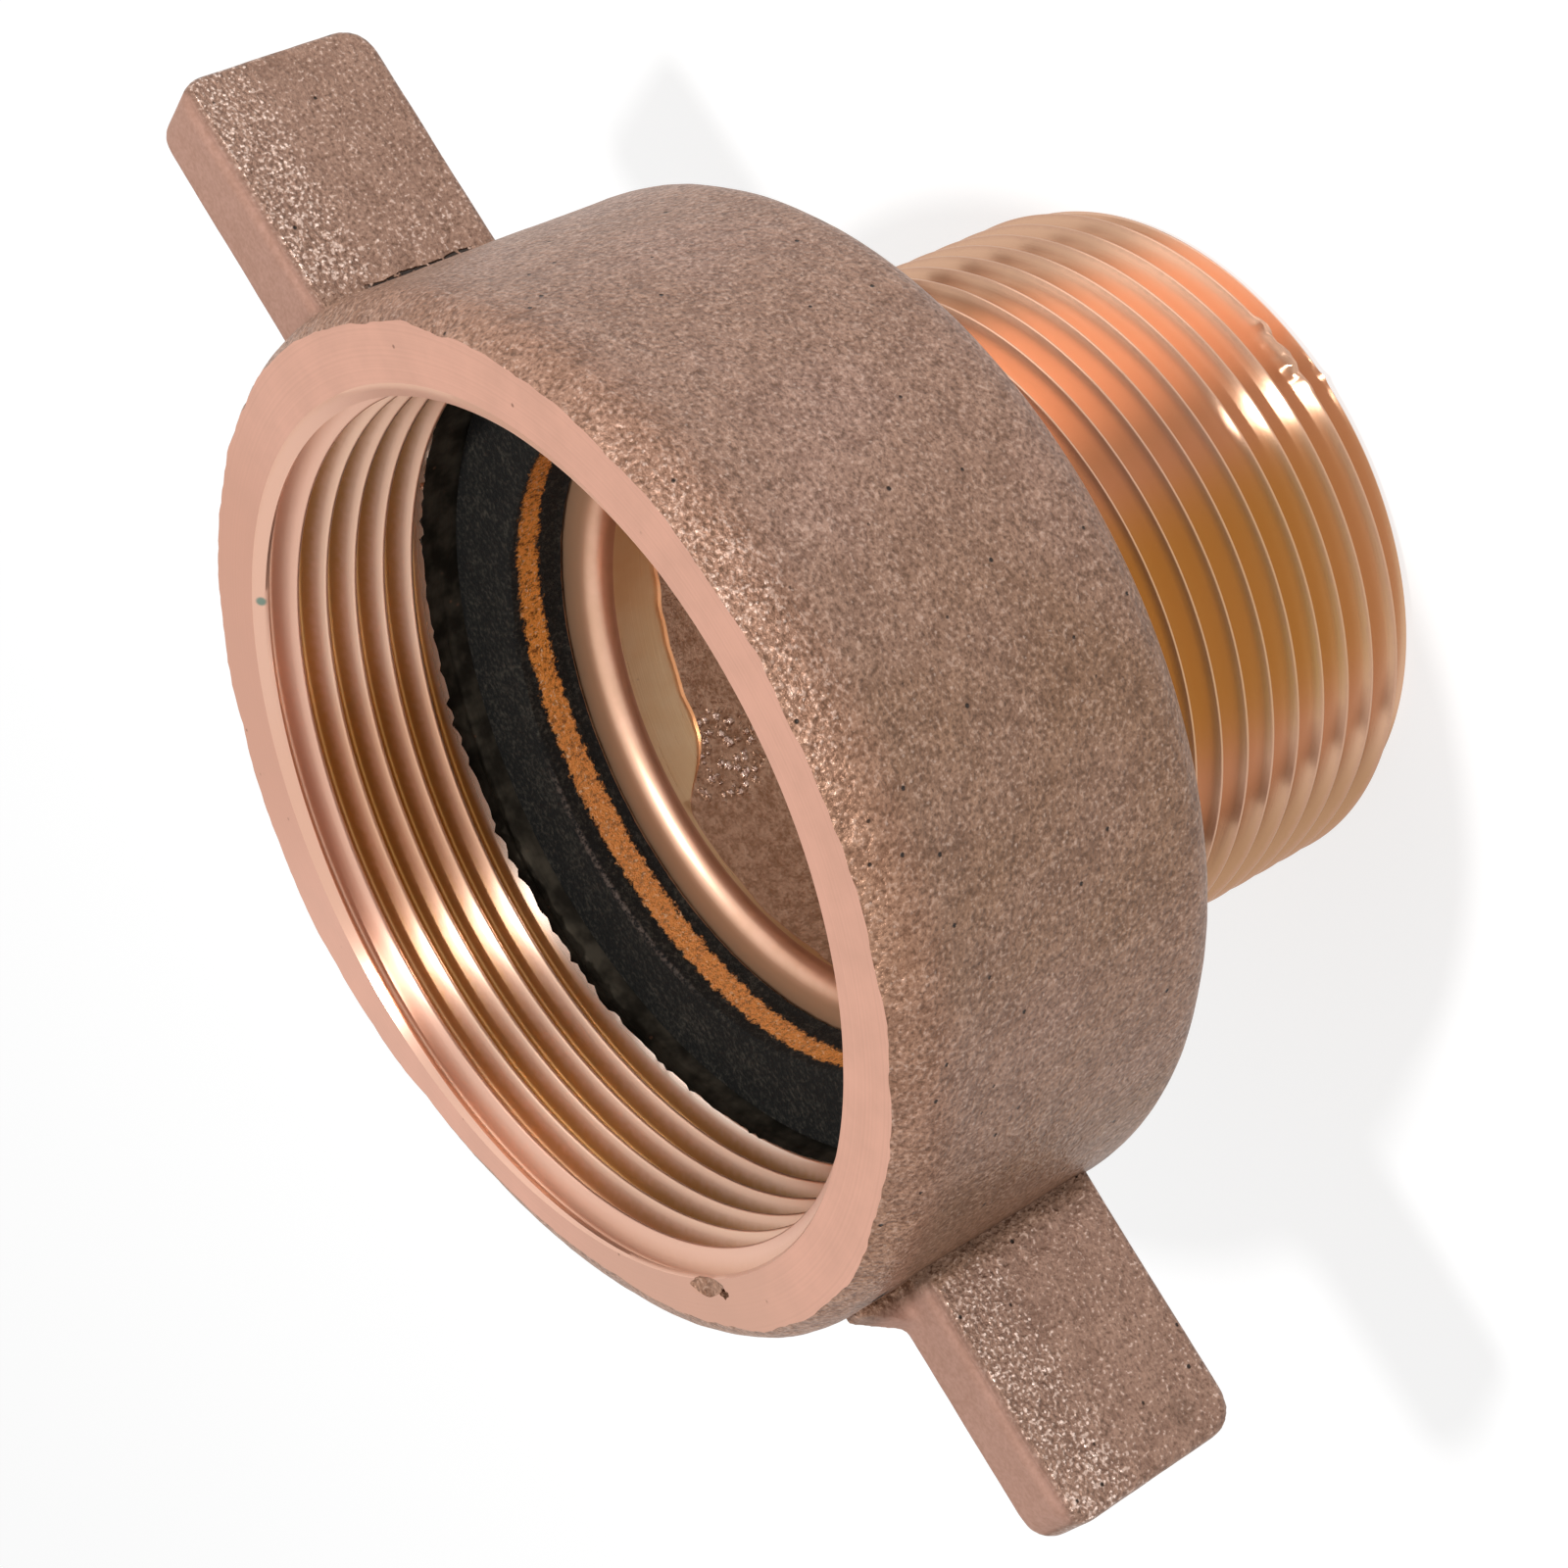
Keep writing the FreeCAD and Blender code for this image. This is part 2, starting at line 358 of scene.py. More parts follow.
class Finish:
    """A material while it is made."""

    def __init__(self, name):
        self.material = bpy.data.materials.new(name)
        self.material.use_nodes = True
        self.tree = self.material.node_tree
        self.shader = self.tree.nodes["Principled BSDF"]
        point = self.add("TexCoord").outputs["Object"]
        parts = self.add("SeparateXYZ", sockets={"Vector": point})
        self.point = point
        self.x, self.y, self.z = [Value(self, parts.outputs[axis]) for axis in "XYZ"]
        self.radius = (self.x * self.x + self.y * self.y).root()

    def add(self, kind, settings=None, sockets=None):
        """Adds a node, with its settings first and then what its sockets get."""
        node = self.tree.nodes.new("ShaderNode" + kind)
        for name, setting in (settings or {}).items():
            setattr(node, name, setting)
        for name, content in (sockets or {}).items():
            self.feed(node.inputs[name], content)
        return node

    def feed(self, socket, content):
        if isinstance(content, Value):
            content = content.socket
        if isinstance(content, bpy.types.NodeSocket):
            self.tree.links.new(content, socket)
        else:
            socket.default_value = content

    def vector(self, x, y, z):
        return self.add("CombineXYZ", sockets={"X": x, "Y": y, "Z": z}).outputs["Vector"]

    def grain(self, size, detail=2.0, roughness=0.5, vector=None):
        """Noise from 0 to 1 whose blotches measure about size."""
        sockets = {"Scale": 1 / size, "Detail": detail, "Roughness": roughness}
        sockets["Vector"] = vector or self.point
        return Value(self, self.add("TexNoise", sockets=sockets).outputs["Fac"])

    def marks(self, size):
        """Fine noise drawn out round the axis, as a lathe tool leaves it."""
        around = self.y.angle(self.x) * 3
        return self.grain(1.0, 2.0, 0.6, self.vector(self.radius / size, around, self.z / size))

    def specks(self, size):
        """Distance from the middle of the nearest cell, in cells about size wide."""
        sockets = {"Scale": 1 / size, "Randomness": 1.0, "Vector": self.point}
        return Value(self, self.add("TexVoronoi", sockets=sockets).outputs["Distance"])

    def cells(self, size):
        """Distance from the middle of the nearest uneven cell, and a random number of that cell."""
        sockets = {"Scale": 3 / size, "Detail": 1.0, "Vector": self.point}
        wobble = self.add("TexNoise", sockets=sockets)
        shifted = self.add(
            "VectorMath", {"operation": "MULTIPLY_ADD"},
            {0: wobble.outputs["Color"], 1: (0.5 * size,) * 3, 2: self.point})
        sockets = {"Scale": 1 / size, "Randomness": 1.0, "Vector": shifted.outputs["Vector"]}
        node = self.add("TexVoronoi", sockets=sockets)
        chance = self.add("SeparateColor", sockets={"Color": node.outputs["Color"]})
        return Value(self, node.outputs["Distance"]), Value(self, chance.outputs["Red"])

    def band(self, bearing, inner, outer):
        """1 within inner degrees of a bearing round the axis, 0 beyond outer degrees."""
        turn = math.radians(bearing)
        facing = (self.x * math.cos(turn) + self.y * math.sin(turn)) / self.radius
        return facing.ramp(math.cos(math.radians(outer)), math.cos(math.radians(inner)))

    def near(self, place, reach):
        """1 at a place in metres and 0 beyond reach."""
        gap = self.add("VectorMath", {"operation": "DISTANCE"}, {0: self.point, 1: place})
        return 1 - Value(self, gap.outputs["Value"]).ramp(0.5 * reach, reach)

    def root_shade_line(self):
        """1 along the broken, dented line of painted shade across the near side of the first lug's root.
        """
        away = (self.x - SHADE_LINE_OUT + (self.grain(1.2 * MM) - 0.5) * (0.5 * MM)).maths("ABSOLUTE")
        line = 1 - away.ramp(0.08 * MM, 0.19 * MM)
        broken = self.grain(0.7 * MM, 2.0, 0.7).ramp(0.38, 0.46)
        height = self.z.ramp(SHADE_LINE_LOW - 0.4 * MM, SHADE_LINE_LOW + 0.2 * MM)
        height = height * (1 - self.z.ramp(SHADE_LINE_HIGH - 0.2 * MM, SHADE_LINE_HIGH + 0.4 * MM))
        return line * broken * height * (1 - self.y.ramp(-2.0 * MM, -1.5 * MM))

    def root_crease(self):
        """1 where the near side of the second lug meets the nut's body, for painted shade in that crease.
        """
        beside = 1 - (self.y - CREASE_SIDE).maths("ABSOLUTE").ramp(0.3 * MM, 1.1 * MM)
        around = 1 - (self.radius - CREASE_RADIUS).maths("ABSOLUTE").ramp(0.1 * MM, 0.9 * MM)
        return beside * around * (1 - self.x.ramp(-31 * MM, -30 * MM))

    def attribute(self, name):
        node = self.add("Attribute", {"attribute_name": name})
        return Value(self, node.outputs["Fac"])

    def blend(self, factor, first, second):
        """Mix of two colours."""
        node = self.add("Mix", {"data_type": "RGBA", "clamp_factor": True})
        self.feed(node.inputs[0], factor)
        self.feed(node.inputs[6], colour(first))
        self.feed(node.inputs[7], colour(second))
        return node.outputs[2]

    def bump(self, height, depth, below=None):
        """Normal of a surface whose height of 0 to 1 stands for depth."""
        sockets = {"Height": height, "Distance": depth, "Strength": 1.0}
        if below is not None:
            sockets["Normal"] = below
        return self.add("Bump", sockets=sockets).outputs["Normal"]

    def shade(self, **sockets):
        """Gives the shader its sockets, such as Base_Color."""
        for name, content in sockets.items():
            self.feed(self.shader.inputs[name.replace("_", " ")], content)


def colour(value):
    """A colour of three numbers with full alpha, or the socket as it is."""
    if isinstance(value, bpy.types.NodeSocket):
        return value
    return tuple(value) + (1.0,)


def cast_skin():
    """Sand-cast gunmetal: brown and grey-pink grit, with painted glints on the grains, painted light on
    one side and painted shade in hollows, creases and along the lugs' roots and edges.
    """
    colours = bpy.context.scene.adapter_colours
    finish = Finish("cast_skin")
    lumps = finish.grain(1.9 * MM, 3.0, 0.6)
    grit = finish.grain(0.55 * MM, 3.0, 0.7)
    fine = finish.grain(0.27 * MM, 1.0, 0.5)
    patches = finish.grain(3.4 * MM, 2.0, 0.5)
    near_grain, grain_chance = finish.cells(0.34 * MM)
    glint_zone = finish.attribute("glint_zone")
    front = finish.attribute("lug_front")
    off_front = 1 - front
    on_lug = finish.radius.ramp(35.2 * MM, 37 * MM)
    rim = finish.z.ramp(50.0 * MM, 52.5 * MM) * (1 - on_lug)

    # Painted glints: bright grains and specks that stand in for highlights, densest in the glint zone and
    # on the lugs
    specks = (fine + patches * 0.12 + glint_zone * 0.09 - on_lug * 0.03).ramp(0.62, 0.74)
    shining = (grain_chance + patches * 0.3 + glint_zone * 0.55 - on_lug * 0.12).ramp(0.96, 1.14)
    shining = shining * (1 - near_grain.ramp(0.12, 0.42))
    painted_glint = (specks * 0.5 + shining).ramp(0.0, 1.0) * off_front
    painted_glint = painted_glint * (on_lug * 0.6 + glint_zone * 0.25 + 0.32)
    # Painted shade in the hollows of the grit
    shaded_hollows = (1 - fine + lumps * 0.12 - on_lug * 0.03).ramp(0.62, 0.76) * off_front
    pits = (1 - finish.specks(2.1 * MM).ramp(0.04, 0.08)) * off_front
    shade_line = finish.root_shade_line()

    # Painted light: greyer pink on the lit side and in a narrow strip at -146 degrees, mixed with broad
    # random mottle
    lit_side_and_mottle = finish.band(-60, 10, 50) * 0.65 + finish.band(-146, 2, 14) * 0.35
    lit_side_and_mottle = lit_side_and_mottle + finish.grain(9 * MM).ramp(0.4, 0.7) * 0.3
    tone = (grit * 0.4 + fine * 0.35 + lumps * 0.25).ramp(0.34, 0.66)
    brown = finish.blend(tone, (0.19, 0.095, 0.052), colours.skin_brown)
    pink = finish.blend(tone, (0.26, 0.142, 0.10), colours.skin_pink)
    dark_rim = finish.blend(tone, (0.22, 0.10, 0.053), (0.50, 0.275, 0.175))
    pale_rim = finish.blend(tone, (0.23, 0.115, 0.07), (0.48, 0.27, 0.19))
    lug_side = finish.blend(tone, (0.28, 0.155, 0.108), colours.lug_side)
    lug_edge = finish.blend(tone, (0.42, 0.236, 0.17), colours.lug_front)
    skin = finish.blend(lit_side_and_mottle, brown, pink)
    skin = finish.blend(rim, skin, finish.blend(lit_side_and_mottle, dark_rim, pale_rim))
    skin = finish.blend(on_lug * 0.8, skin, lug_side)
    skin = finish.blend(front, skin, lug_edge)
    skin = finish.blend(shaded_hollows * 0.4, skin, (0.12, 0.06, 0.032))
    skin = finish.blend(painted_glint * 0.8, skin, colours.painted_glint)
    # Painted shade: across the rounded front edges of the lugs, in the crease at the second lug's root and
    # in a spot near its tip
    shaded = front * off_front * 1.6 + finish.root_crease() * 0.6
    shaded = shaded + finish.near(TIP_SHADE_SPOT, 1.3 * MM) * 0.35
    skin = finish.blend(shaded, skin, (0.13, 0.065, 0.037))
    # Near black in the pits, and painted shade along the first lug's root and in the cavity beside the
    # second lug's web
    hollow = pits + shade_line + finish.near(ROOT_CAVITY, 1.0 * MM) * lumps.ramp(0.25, 0.45)
    skin = finish.blend(hollow, skin, (0.03, 0.018, 0.012))

    calm = 1 - front * 0.85
    relief = grit * 0.5 + fine * 0.25 + lumps * 0.9 + (1 - near_grain) * (glint_zone * 0.35 + 0.12)
    relief = relief * calm
    finish.shade(
        Base_Color=skin, Metallic=painted_glint * 0.5 + 0.5, Roughness=0.45 + front * 0.3 - painted_glint * 0.18,
        Normal=finish.bump(relief - pits - shade_line, 0.34 * MM))
    return finish.material


def turned_metal(name, base, dark, roughness, mark_depth):
    """Gunmetal turned in a lathe, with fine marks round the axis."""
    finish = Finish(name)
    marks = finish.marks(0.10 * MM)
    mottle = finish.grain(2.4 * MM, 3.0, 0.6)
    pits = 1 - finish.specks(1.5 * MM).ramp(0.05, 0.12)
    pits = pits * finish.grain(3 * MM, 1.0).ramp(0.5, 0.6)
    tint = finish.blend(mottle.ramp(0.35, 0.7), dark, base)
    tint = finish.blend(pits * 0.6, tint, (0.20, 0.10, 0.06))
    normal = finish.bump(marks - pits, mark_depth)
    finish.shade(
        Base_Color=tint, Metallic=1.0, Roughness=marks * 0.12 + roughness, Normal=normal,
        Anisotropic=0.6, Anisotropic_Rotation=0.25)
    return finish.material


def mouth_face():
    """The faced mouth: pinkish, with faint rings, painted light and shade round it, a few pits and one
    spot of verdigris.
    """
    colours = bpy.context.scene.adapter_colours
    finish = Finish("mouth_face")
    rings = finish.grain(1.0, 1.0, 0.5, finish.vector(finish.radius / (0.16 * MM), 0.0, 0.0))
    mottle = finish.grain(3.5 * MM, 3.0, 0.6)
    tone = (mottle * 0.6 + rings * 0.4).ramp(0.3, 0.7)
    tint = finish.blend(tone, (0.64, 0.35, 0.255), colours.face)
    # Painted light and shade round the face
    for bearing, inner, outer, strength, shade in FACE_LIGHT_AND_SHADE:
        tint = finish.blend(finish.band(bearing, inner, outer) * strength, tint, shade)
    pits = 1 - finish.specks(1.7 * MM).ramp(0.04, 0.10)
    pits = pits * finish.grain(4 * MM, 1.0).ramp(0.52, 0.6)
    tint = finish.blend(pits * 0.7, tint, (0.20, 0.09, 0.05))
    tint = finish.blend(finish.near(VERDIGRIS, VERDIGRIS_REACH) * 0.8, tint, colours.verdigris)
    relief = finish.marks(0.10 * MM) * 0.5 + rings * 0.8 - pits
    finish.shade(
        Base_Color=tint, Metallic=1.0, Roughness=0.36 + mottle * 0.08,
        Normal=finish.bump(relief, 0.012 * MM))
    return finish.material


def female_thread():
    """Female thread: pinkish on its crests, and golden brown down in its grooves as painted shade."""
    colours = bpy.context.scene.adapter_colours
    finish = Finish("female_thread")
    groove = finish.attribute("groove")
    deep = (groove + (finish.grain(0.6 * MM, 2.0) - 0.5) * 0.2).ramp(0.28, 0.75)
    tint = finish.blend(deep, colours.nut_crest, colours.nut_root_shade)
    brown = finish.blend(deep, (0.80, 0.465, 0.30), (0.53, 0.27, 0.08))
    # Painted shade: deeper golden brown on one side, round bearing 66 degrees
    tint = finish.blend(finish.band(66, 6, 22), tint, brown)
    # Painted light: lighter near the mouth
    tint = finish.blend(finish.z.ramp(51.0 * MM, 52.2 * MM) * 0.8, tint, (0.82, 0.49, 0.37))
    torn_end = 1 - finish.z.ramp(41.45 * MM, 41.8 * MM)
    tint = finish.blend(torn_end * 0.8, tint, (0.97, 0.80, 0.68))
    tint = finish.blend(finish.near(VERDIGRIS, VERDIGRIS_REACH) * 0.8, tint, colours.verdigris)
    finish.shade(
        Base_Color=tint, Metallic=1.0, Roughness=0.31 - torn_end * 0.04,
        Normal=finish.bump(finish.marks(0.08 * MM), 0.004 * MM),
        Anisotropic=0.95, Anisotropic_Rotation=0.25)
    return finish.material


def male_thread():
    """Male thread: pale, golden and brown lengths of painted reflection round it, and a thin dull line on
    its crests.
    """
    colours = bpy.context.scene.adapter_colours
    finish = Finish("male_thread")
    # Painted reflections round the axis; the golden ones fade towards the thread's end
    inland = finish.z.ramp(1 * MM, 10 * MM) * 0.75 + 0.25
    tint = colours.tail_thread
    for bearing, inner, outer in PALE_REFLECTIONS:
        tint = finish.blend(finish.band(bearing, inner, outer), tint, colours.tail_pale_reflection)
    for bearing, inner, outer in GOLDEN_REFLECTIONS:
        tint = finish.blend(finish.band(bearing, inner, outer) * inland, tint, colours.tail_golden_reflection)
    for bearing, inner, outer in BROWN_REFLECTIONS:
        tint = finish.blend(finish.band(bearing, inner, outer), tint, colours.tail_brown_reflection)
    groove = finish.attribute("groove")
    crest = 1 - (groove + (finish.grain(0.5 * MM, 2.0) - 0.5) * 0.12).ramp(0.06, 0.20)
    tint = finish.blend(crest * 0.5, tint, (0.52, 0.30, 0.21))
    finish.shade(
        Base_Color=tint, Metallic=1.0, Roughness=0.23,
        Normal=finish.bump(finish.marks(0.08 * MM), 0.004 * MM),
        Anisotropic=0.95, Anisotropic_Rotation=0.25)
    return finish.material


def bell_mouth():
    """Rounded entry of the bore: dull on its flat rim and brighter where it turns inwards."""
    colours = bpy.context.scene.adapter_colours
    finish = Finish("bell_mouth")
    marks = finish.marks(0.10 * MM)
    outer = finish.radius.ramp(20.7 * MM, 21.9 * MM)
    mottle = finish.grain(2.4 * MM, 3.0, 0.6).ramp(0.35, 0.7)
    bright = finish.blend(mottle, (0.73, 0.44, 0.30), (0.79, 0.48, 0.34))
    tint = finish.blend(outer, bright, colours.bell_rim)
    finish.shade(
        Base_Color=tint, Metallic=1.0, Roughness=outer * 0.14 + marks * 0.04 + 0.34,
        Normal=finish.bump(marks, 0.004 * MM))
    return finish.material


def cast_bore():
    """Rough waterway as cast, darker than the turned metal, with nodules beside the turned length that
    carry painted glints.
    """
    finish = Finish("cast_bore")
    grit = finish.grain(0.8 * MM, 3.0, 0.6)
    fine = finish.grain(0.25 * MM, 2.0, 0.5)
    near_nodule, chance = finish.cells(0.62 * MM)
    nodular = finish.near(NODULES, 4.6 * MM) * chance.ramp(0.10, 0.35)
    glinting_nodule = (1 - near_nodule.ramp(0.16, 0.66)) * nodular
    tone = (grit * 0.6 + fine * 0.4).ramp(0.38, 0.62)
    tint = finish.blend(tone, (0.35, 0.185, 0.105), (0.58, 0.355, 0.235))
    # Painted glints on the nodules
    tint = finish.blend(glinting_nodule.ramp(0.4, 0.8) * 0.8, tint, (0.95, 0.72, 0.62))
    finish.shade(
        Base_Color=tint, Metallic=glinting_nodule * 0.4 + 0.5, Roughness=0.45 - glinting_nodule * 0.2,
        Normal=finish.bump(grit * 0.6 + fine * 0.3 + glinting_nodule * 0.8, 0.3 * MM))
    return finish.material


def fibre(name):
    """Pressed fibre washer: black skins, a tan core in the cut inner edge, and a painted highlight on the
    hole's top edge.
    """
    colours = bpy.context.scene.adapter_colours
    finish = Finish(name)
    around = finish.y.angle(finish.x)
    along = finish.vector(finish.radius / (0.6 * MM), around * 75, finish.z / (0.45 * MM))
    strands = finish.grain(1.0, 3.0, 0.75, along)
    flecks = finish.grain(0.28 * MM, 2.0, 0.6)
    ragged = (finish.grain(0.5 * MM, 4.0, 0.8) - 0.5) * (1.7 * MM)
    above = (finish.z + ragged - finish.attribute("core_low")).ramp(-0.12 * MM, 0.12 * MM)
    below = (finish.attribute("core_high") - finish.z - ragged).ramp(-0.12 * MM, 0.12 * MM)
    inner_wall = 1 - finish.radius.ramp(23.5 * MM, 23.8 * MM)
    core = above * below * inner_wall
    dust = finish.grain(0.36 * MM, 4.0, 0.75)
    clouds = finish.grain(2.2 * MM, 2.0, 0.5)
    dusty = (dust * 0.8 + clouds * 0.2).ramp(0.46, 0.70)
    black = finish.blend(dusty, (0.003, 0.0028, 0.0022), colours.washer_black)
    # Painted highlight along the top of the hole's edge round bearing 93 degrees, broken by the dust
    painted_edge_highlight = (1 - finish.radius.ramp(23.1 * MM, 23.5 * MM)) * finish.z.ramp(38.4 * MM, 38.7 * MM)
    painted_edge_highlight = painted_edge_highlight * finish.band(93, 8, 28)
    black = finish.blend(painted_edge_highlight * dust.ramp(0.40, 0.60) * 0.7, black, (0.16, 0.12, 0.10))
    tan = finish.blend(strands.ramp(0.30, 0.55), (0.20, 0.055, 0.006), colours.washer_core)
    tan = finish.blend(finish.band(105, 15, 60) * 0.35, tan, (0.80, 0.36, 0.16))
    tan = finish.blend(flecks.ramp(0.58, 0.70) * 0.8, tan, (1.0, 0.68, 0.40))
    finish.shade(
        Base_Color=finish.blend(core, black, tan), Roughness=0.8, Specular_IOR_Level=0.3,
        Normal=finish.bump(strands * 0.4 + dust * 0.8, 0.3 * MM))
    return finish.material


def smooth(value, low, high):
    """0 below low, 1 above high and smooth between them."""
    share = np.clip((value - low) / (high - low), 0, 1)
    return share * share * (3 - 2 * share)


class Thread:
    """A parallel right-hand thread of 11 turns to the inch.

    Its crests and roots are rounded with the given shares of a pitch, and its depth follows.
    """
    pitch = INCH / 11

    def __init__(self, radius, crest_z, inward, rounding, root_rounding):
        self.crest_radius = radius
        self.crest_z = crest_z
        self.inward = inward
        steepness = 1 / math.tan(FLANK_ANGLE)
        width, drop = math.cos(FLANK_ANGLE), 1 - math.sin(FLANK_ANGLE)
        both = rounding + root_rounding
        self.full_depth = both * drop + (0.5 - both * width) * steepness
        self.steepness = steepness
        self.crest = (rounding, rounding * width, rounding * drop)
        self.root = (root_rounding, root_rounding * width)

    def depth(self, phase):
        """Depth below the crest, in pitches, at a phase of -0.5 to 0.5 of a pitch from its middle."""
        away = np.abs(phase)
        rounding, half_width, drop = self.crest
        crest = rounding - np.sqrt(np.maximum(rounding ** 2 - away ** 2, 0))
        flank = drop + (away - half_width) * self.steepness
        rounding, half_width_root = self.root
        to_root = 0.5 - away
        root = self.full_depth - rounding + np.sqrt(np.maximum(rounding ** 2 - to_root ** 2, 0))
        return np.where(away < half_width, crest, np.where(to_root < half_width_root, root, flank))

    def phase(self, angle, height):
        turns = (height - self.crest_z) / self.pitch - angle / TURN
        return turns - np.round(turns)

    def radius(self, angle, height):
        cut = self.depth(self.phase(angle, height)) * self.pitch
        return self.crest_radius - cut if self.inward else self.crest_radius + cut

    def groove(self, angle, height):
        """0 along the crests and 1 at the roots."""
        return 2 * np.abs(self.phase(angle, height))

    def rows(self, low, high):
        """Heights at +X of the rows that follow the helix from low to high, with a turn to spare."""
        crest_end = self.crest[1]
        root_start = 0.5 - self.root[1]
        half = [crest_end * share for share in (0.5, 1)]
        half += [crest_end + (root_start - crest_end) * share for share in (1 / 3, 2 / 3, 1)]
        half += [root_start + (0.5 - root_start) * share for share in (1 / 3, 2 / 3)]
        stops = sorted([-stop for stop in half] + [0.0] + half + [0.5])
        first = math.floor((low - self.pitch - self.crest_z) / self.pitch) - 1
        last = math.ceil((high - self.crest_z) / self.pitch) + 1
        heights = [self.crest_z + (turn + stop) * self.pitch
                   for turn in range(first, last) for stop in stops]
        return [height for height in heights if low - 1.2 * self.pitch < height < high + 0.1 * self.pitch]


class Section:
    """Half section of a turned piece: rows that each say where they run round the axis."""

    def __init__(self):
        self.rows = []
        self.zones = []

    def ring(self, radius, height, zone):
        """A row at a radius and height, either of which may be a function of the angle."""
        self.rows.append((radius, height, None))
        self.zones.append(zone)

    def line(self, radii, heights, count, zone):
        """Rows in a straight line from the last one to the end of radii and heights."""
        for step in range(1, count + 1):
            share = step / count
            self.ring(
                radii[0] + (radii[1] - radii[0]) * share,
                heights[0] + (heights[1] - heights[0]) * share, zone)

    def thread(self, thread, low, high, surface, zone, ragged=None):
        """Rows that follow a thread between two heights, the lower one uneven if ragged is given."""
        for height in thread.rows(low, high):
            self.rows.append((surface, height, (thread.pitch, low, high, ragged)))
            self.zones.append(zone)


def swept(name, section, columns):
    """Draws the outline of a section vertex by vertex and sweeps it round the Z axis."""
    apart = 0.1 * MM
    deselect()
    bpy.ops.mesh.primitive_plane_add(size=MM)
    piece = bpy.context.object
    piece.name = name
    piece.data.name = name
    count = len(section.rows)
    bpy.ops.object.mode_set(mode="EDIT")
    bpy.ops.mesh.merge(type="CENTER")
    for row in range(1, count):
        bpy.ops.mesh.extrude_region_move(TRANSFORM_OT_translate={"value": (0, 0, apart)})
    bpy.ops.object.mode_set(mode="OBJECT")
    heights = [vertex.co.z for vertex in piece.data.vertices]
    row_of = np.argsort(np.argsort(heights))
    bpy.ops.object.modifier_add(type="SCREW")
    sweep = piece.modifiers[-1]
    sweep.axis = "Z"
    sweep.angle = TURN
    sweep.screw_offset = apart
    sweep.steps = columns
    sweep.render_steps = columns
    sweep.use_merge_vertices = False
    bpy.ops.object.modifier_apply(modifier=sweep.name)
    return piece, row_of


def deselect():
    if bpy.context.mode != "OBJECT":
        bpy.ops.object.mode_set(mode="OBJECT")
    bpy.ops.object.select_all(action="DESELECT")


def turned_piece(name, section, columns, finishes, shape=None):
    """A turned piece: the swept outline with each vertex at its place, closed and smoothed."""
    piece, row_of = swept(name, section, columns)
    count = len(section.rows)
    angles = np.arange(columns + 1) * TURN / columns
    radii = np.zeros((columns + 1, count))
    heights = np.zeros((columns + 1, count))
    for row, (radius, height, helix) in enumerate(section.rows):
        if helix:
            pitch, low, high, ragged = helix
            low = low + ragged(angles) if ragged else low
            heights[:, row] = np.clip(height + pitch * angles / TURN, low, high)
            radii[:, row] = radius(angles, heights[:, row])
        else:
            heights[:, row] = height(angles) if callable(height) else height
            radii[:, row] = radius(angles) if callable(radius) else radius
    angle_grid = np.repeat(angles[:, None], count, 1)
    if shape:
        radii, heights = shape(angle_grid, radii, heights)
    places = np.stack([radii * np.cos(angle_grid), radii * np.sin(angle_grid), heights], 2)
    order = row_of[None, :].repeat(columns + 1, 0)
    column = np.arange(columns + 1)[:, None].repeat(count, 1)
    mesh = piece.data
    mesh.vertices.foreach_set("co", places[column, order].astype(np.float32).ravel())
    zone_index = {zone: index for index, zone in enumerate(finishes)}
    for material in finishes.values():
        mesh.materials.append(material)
    spans = np.zeros(len(mesh.polygons), np.int32)
    for index, polygon in enumerate(mesh.polygons):
        rows = [row_of[vertex % count] for vertex in polygon.vertices]
        spans[index] = zone_index[section.zones[max(rows)]]
    mesh.polygons.foreach_set("material_index", spans)
    mesh.update()
    close_up(piece)
    return piece


def paint(piece, name, value_at):
    """Stores a number at each vertex, worked out from its place."""
    mesh = piece.data
    places = np.empty(3 * len(mesh.vertices), np.float32)
    mesh.vertices.foreach_get("co", places)
    x, y, z = places.reshape(-1, 3).T
    values = value_at(x, y, z)
    attribute = mesh.attributes.new(name, "FLOAT", "POINT")
    attribute.data.foreach_set("value", np.asarray(values, np.float32))


def close_up(piece):
    """Joins what meets, drops faces without area and turns every face outwards."""
    deselect()
    bpy.context.view_layer.objects.active = piece
    piece.select_set(True)
    bpy.ops.object.mode_set(mode="EDIT")
    bpy.ops.mesh.select_all(action="SELECT")
    bpy.ops.mesh.remove_doubles(threshold=JOIN_WITHIN)
    bpy.ops.mesh.dissolve_degenerate(threshold=JOIN_WITHIN)
    bpy.ops.mesh.normals_make_consistent(inside=False)
    bpy.ops.object.mode_set(mode="OBJECT")
    bpy.ops.object.shade_smooth_by_angle(angle=SHARP_FROM)


def wave(angle, centre, half_width):
    """A bump of height 1 round the axis at centre, in degrees."""
    away = (np.degrees(angle) - centre + 180) % 360 - 180
    return np.where(np.abs(away) < half_width, np.cos(away / half_width * math.pi / 2) ** 2, 0)


def rough_edge(angle, size, fineness):
    """Unevenness round an edge, from noise along a circle that is wider the finer it shall be."""
    wander = [noise.noise(Vector((math.cos(turn) * fineness, math.sin(turn) * fineness, fineness)))
              for turn in np.ravel(angle)]
    return size * np.array(wander).reshape(np.shape(angle))


def face_edge(angle):
    """Outer radius of the faced mouth: uneven, and cut back where the casting lay low."""
    sizes = bpy.context.scene.adapter_nut
    radius = sizes.face_radius - sizes.face_loss * wave(angle, LOW_BEARING, LOW_SPREAD)
    radius += rough_edge(angle, 0.35 * MM, 7.0)
    return radius + rough_edge(angle, 0.16 * MM, 31.0)


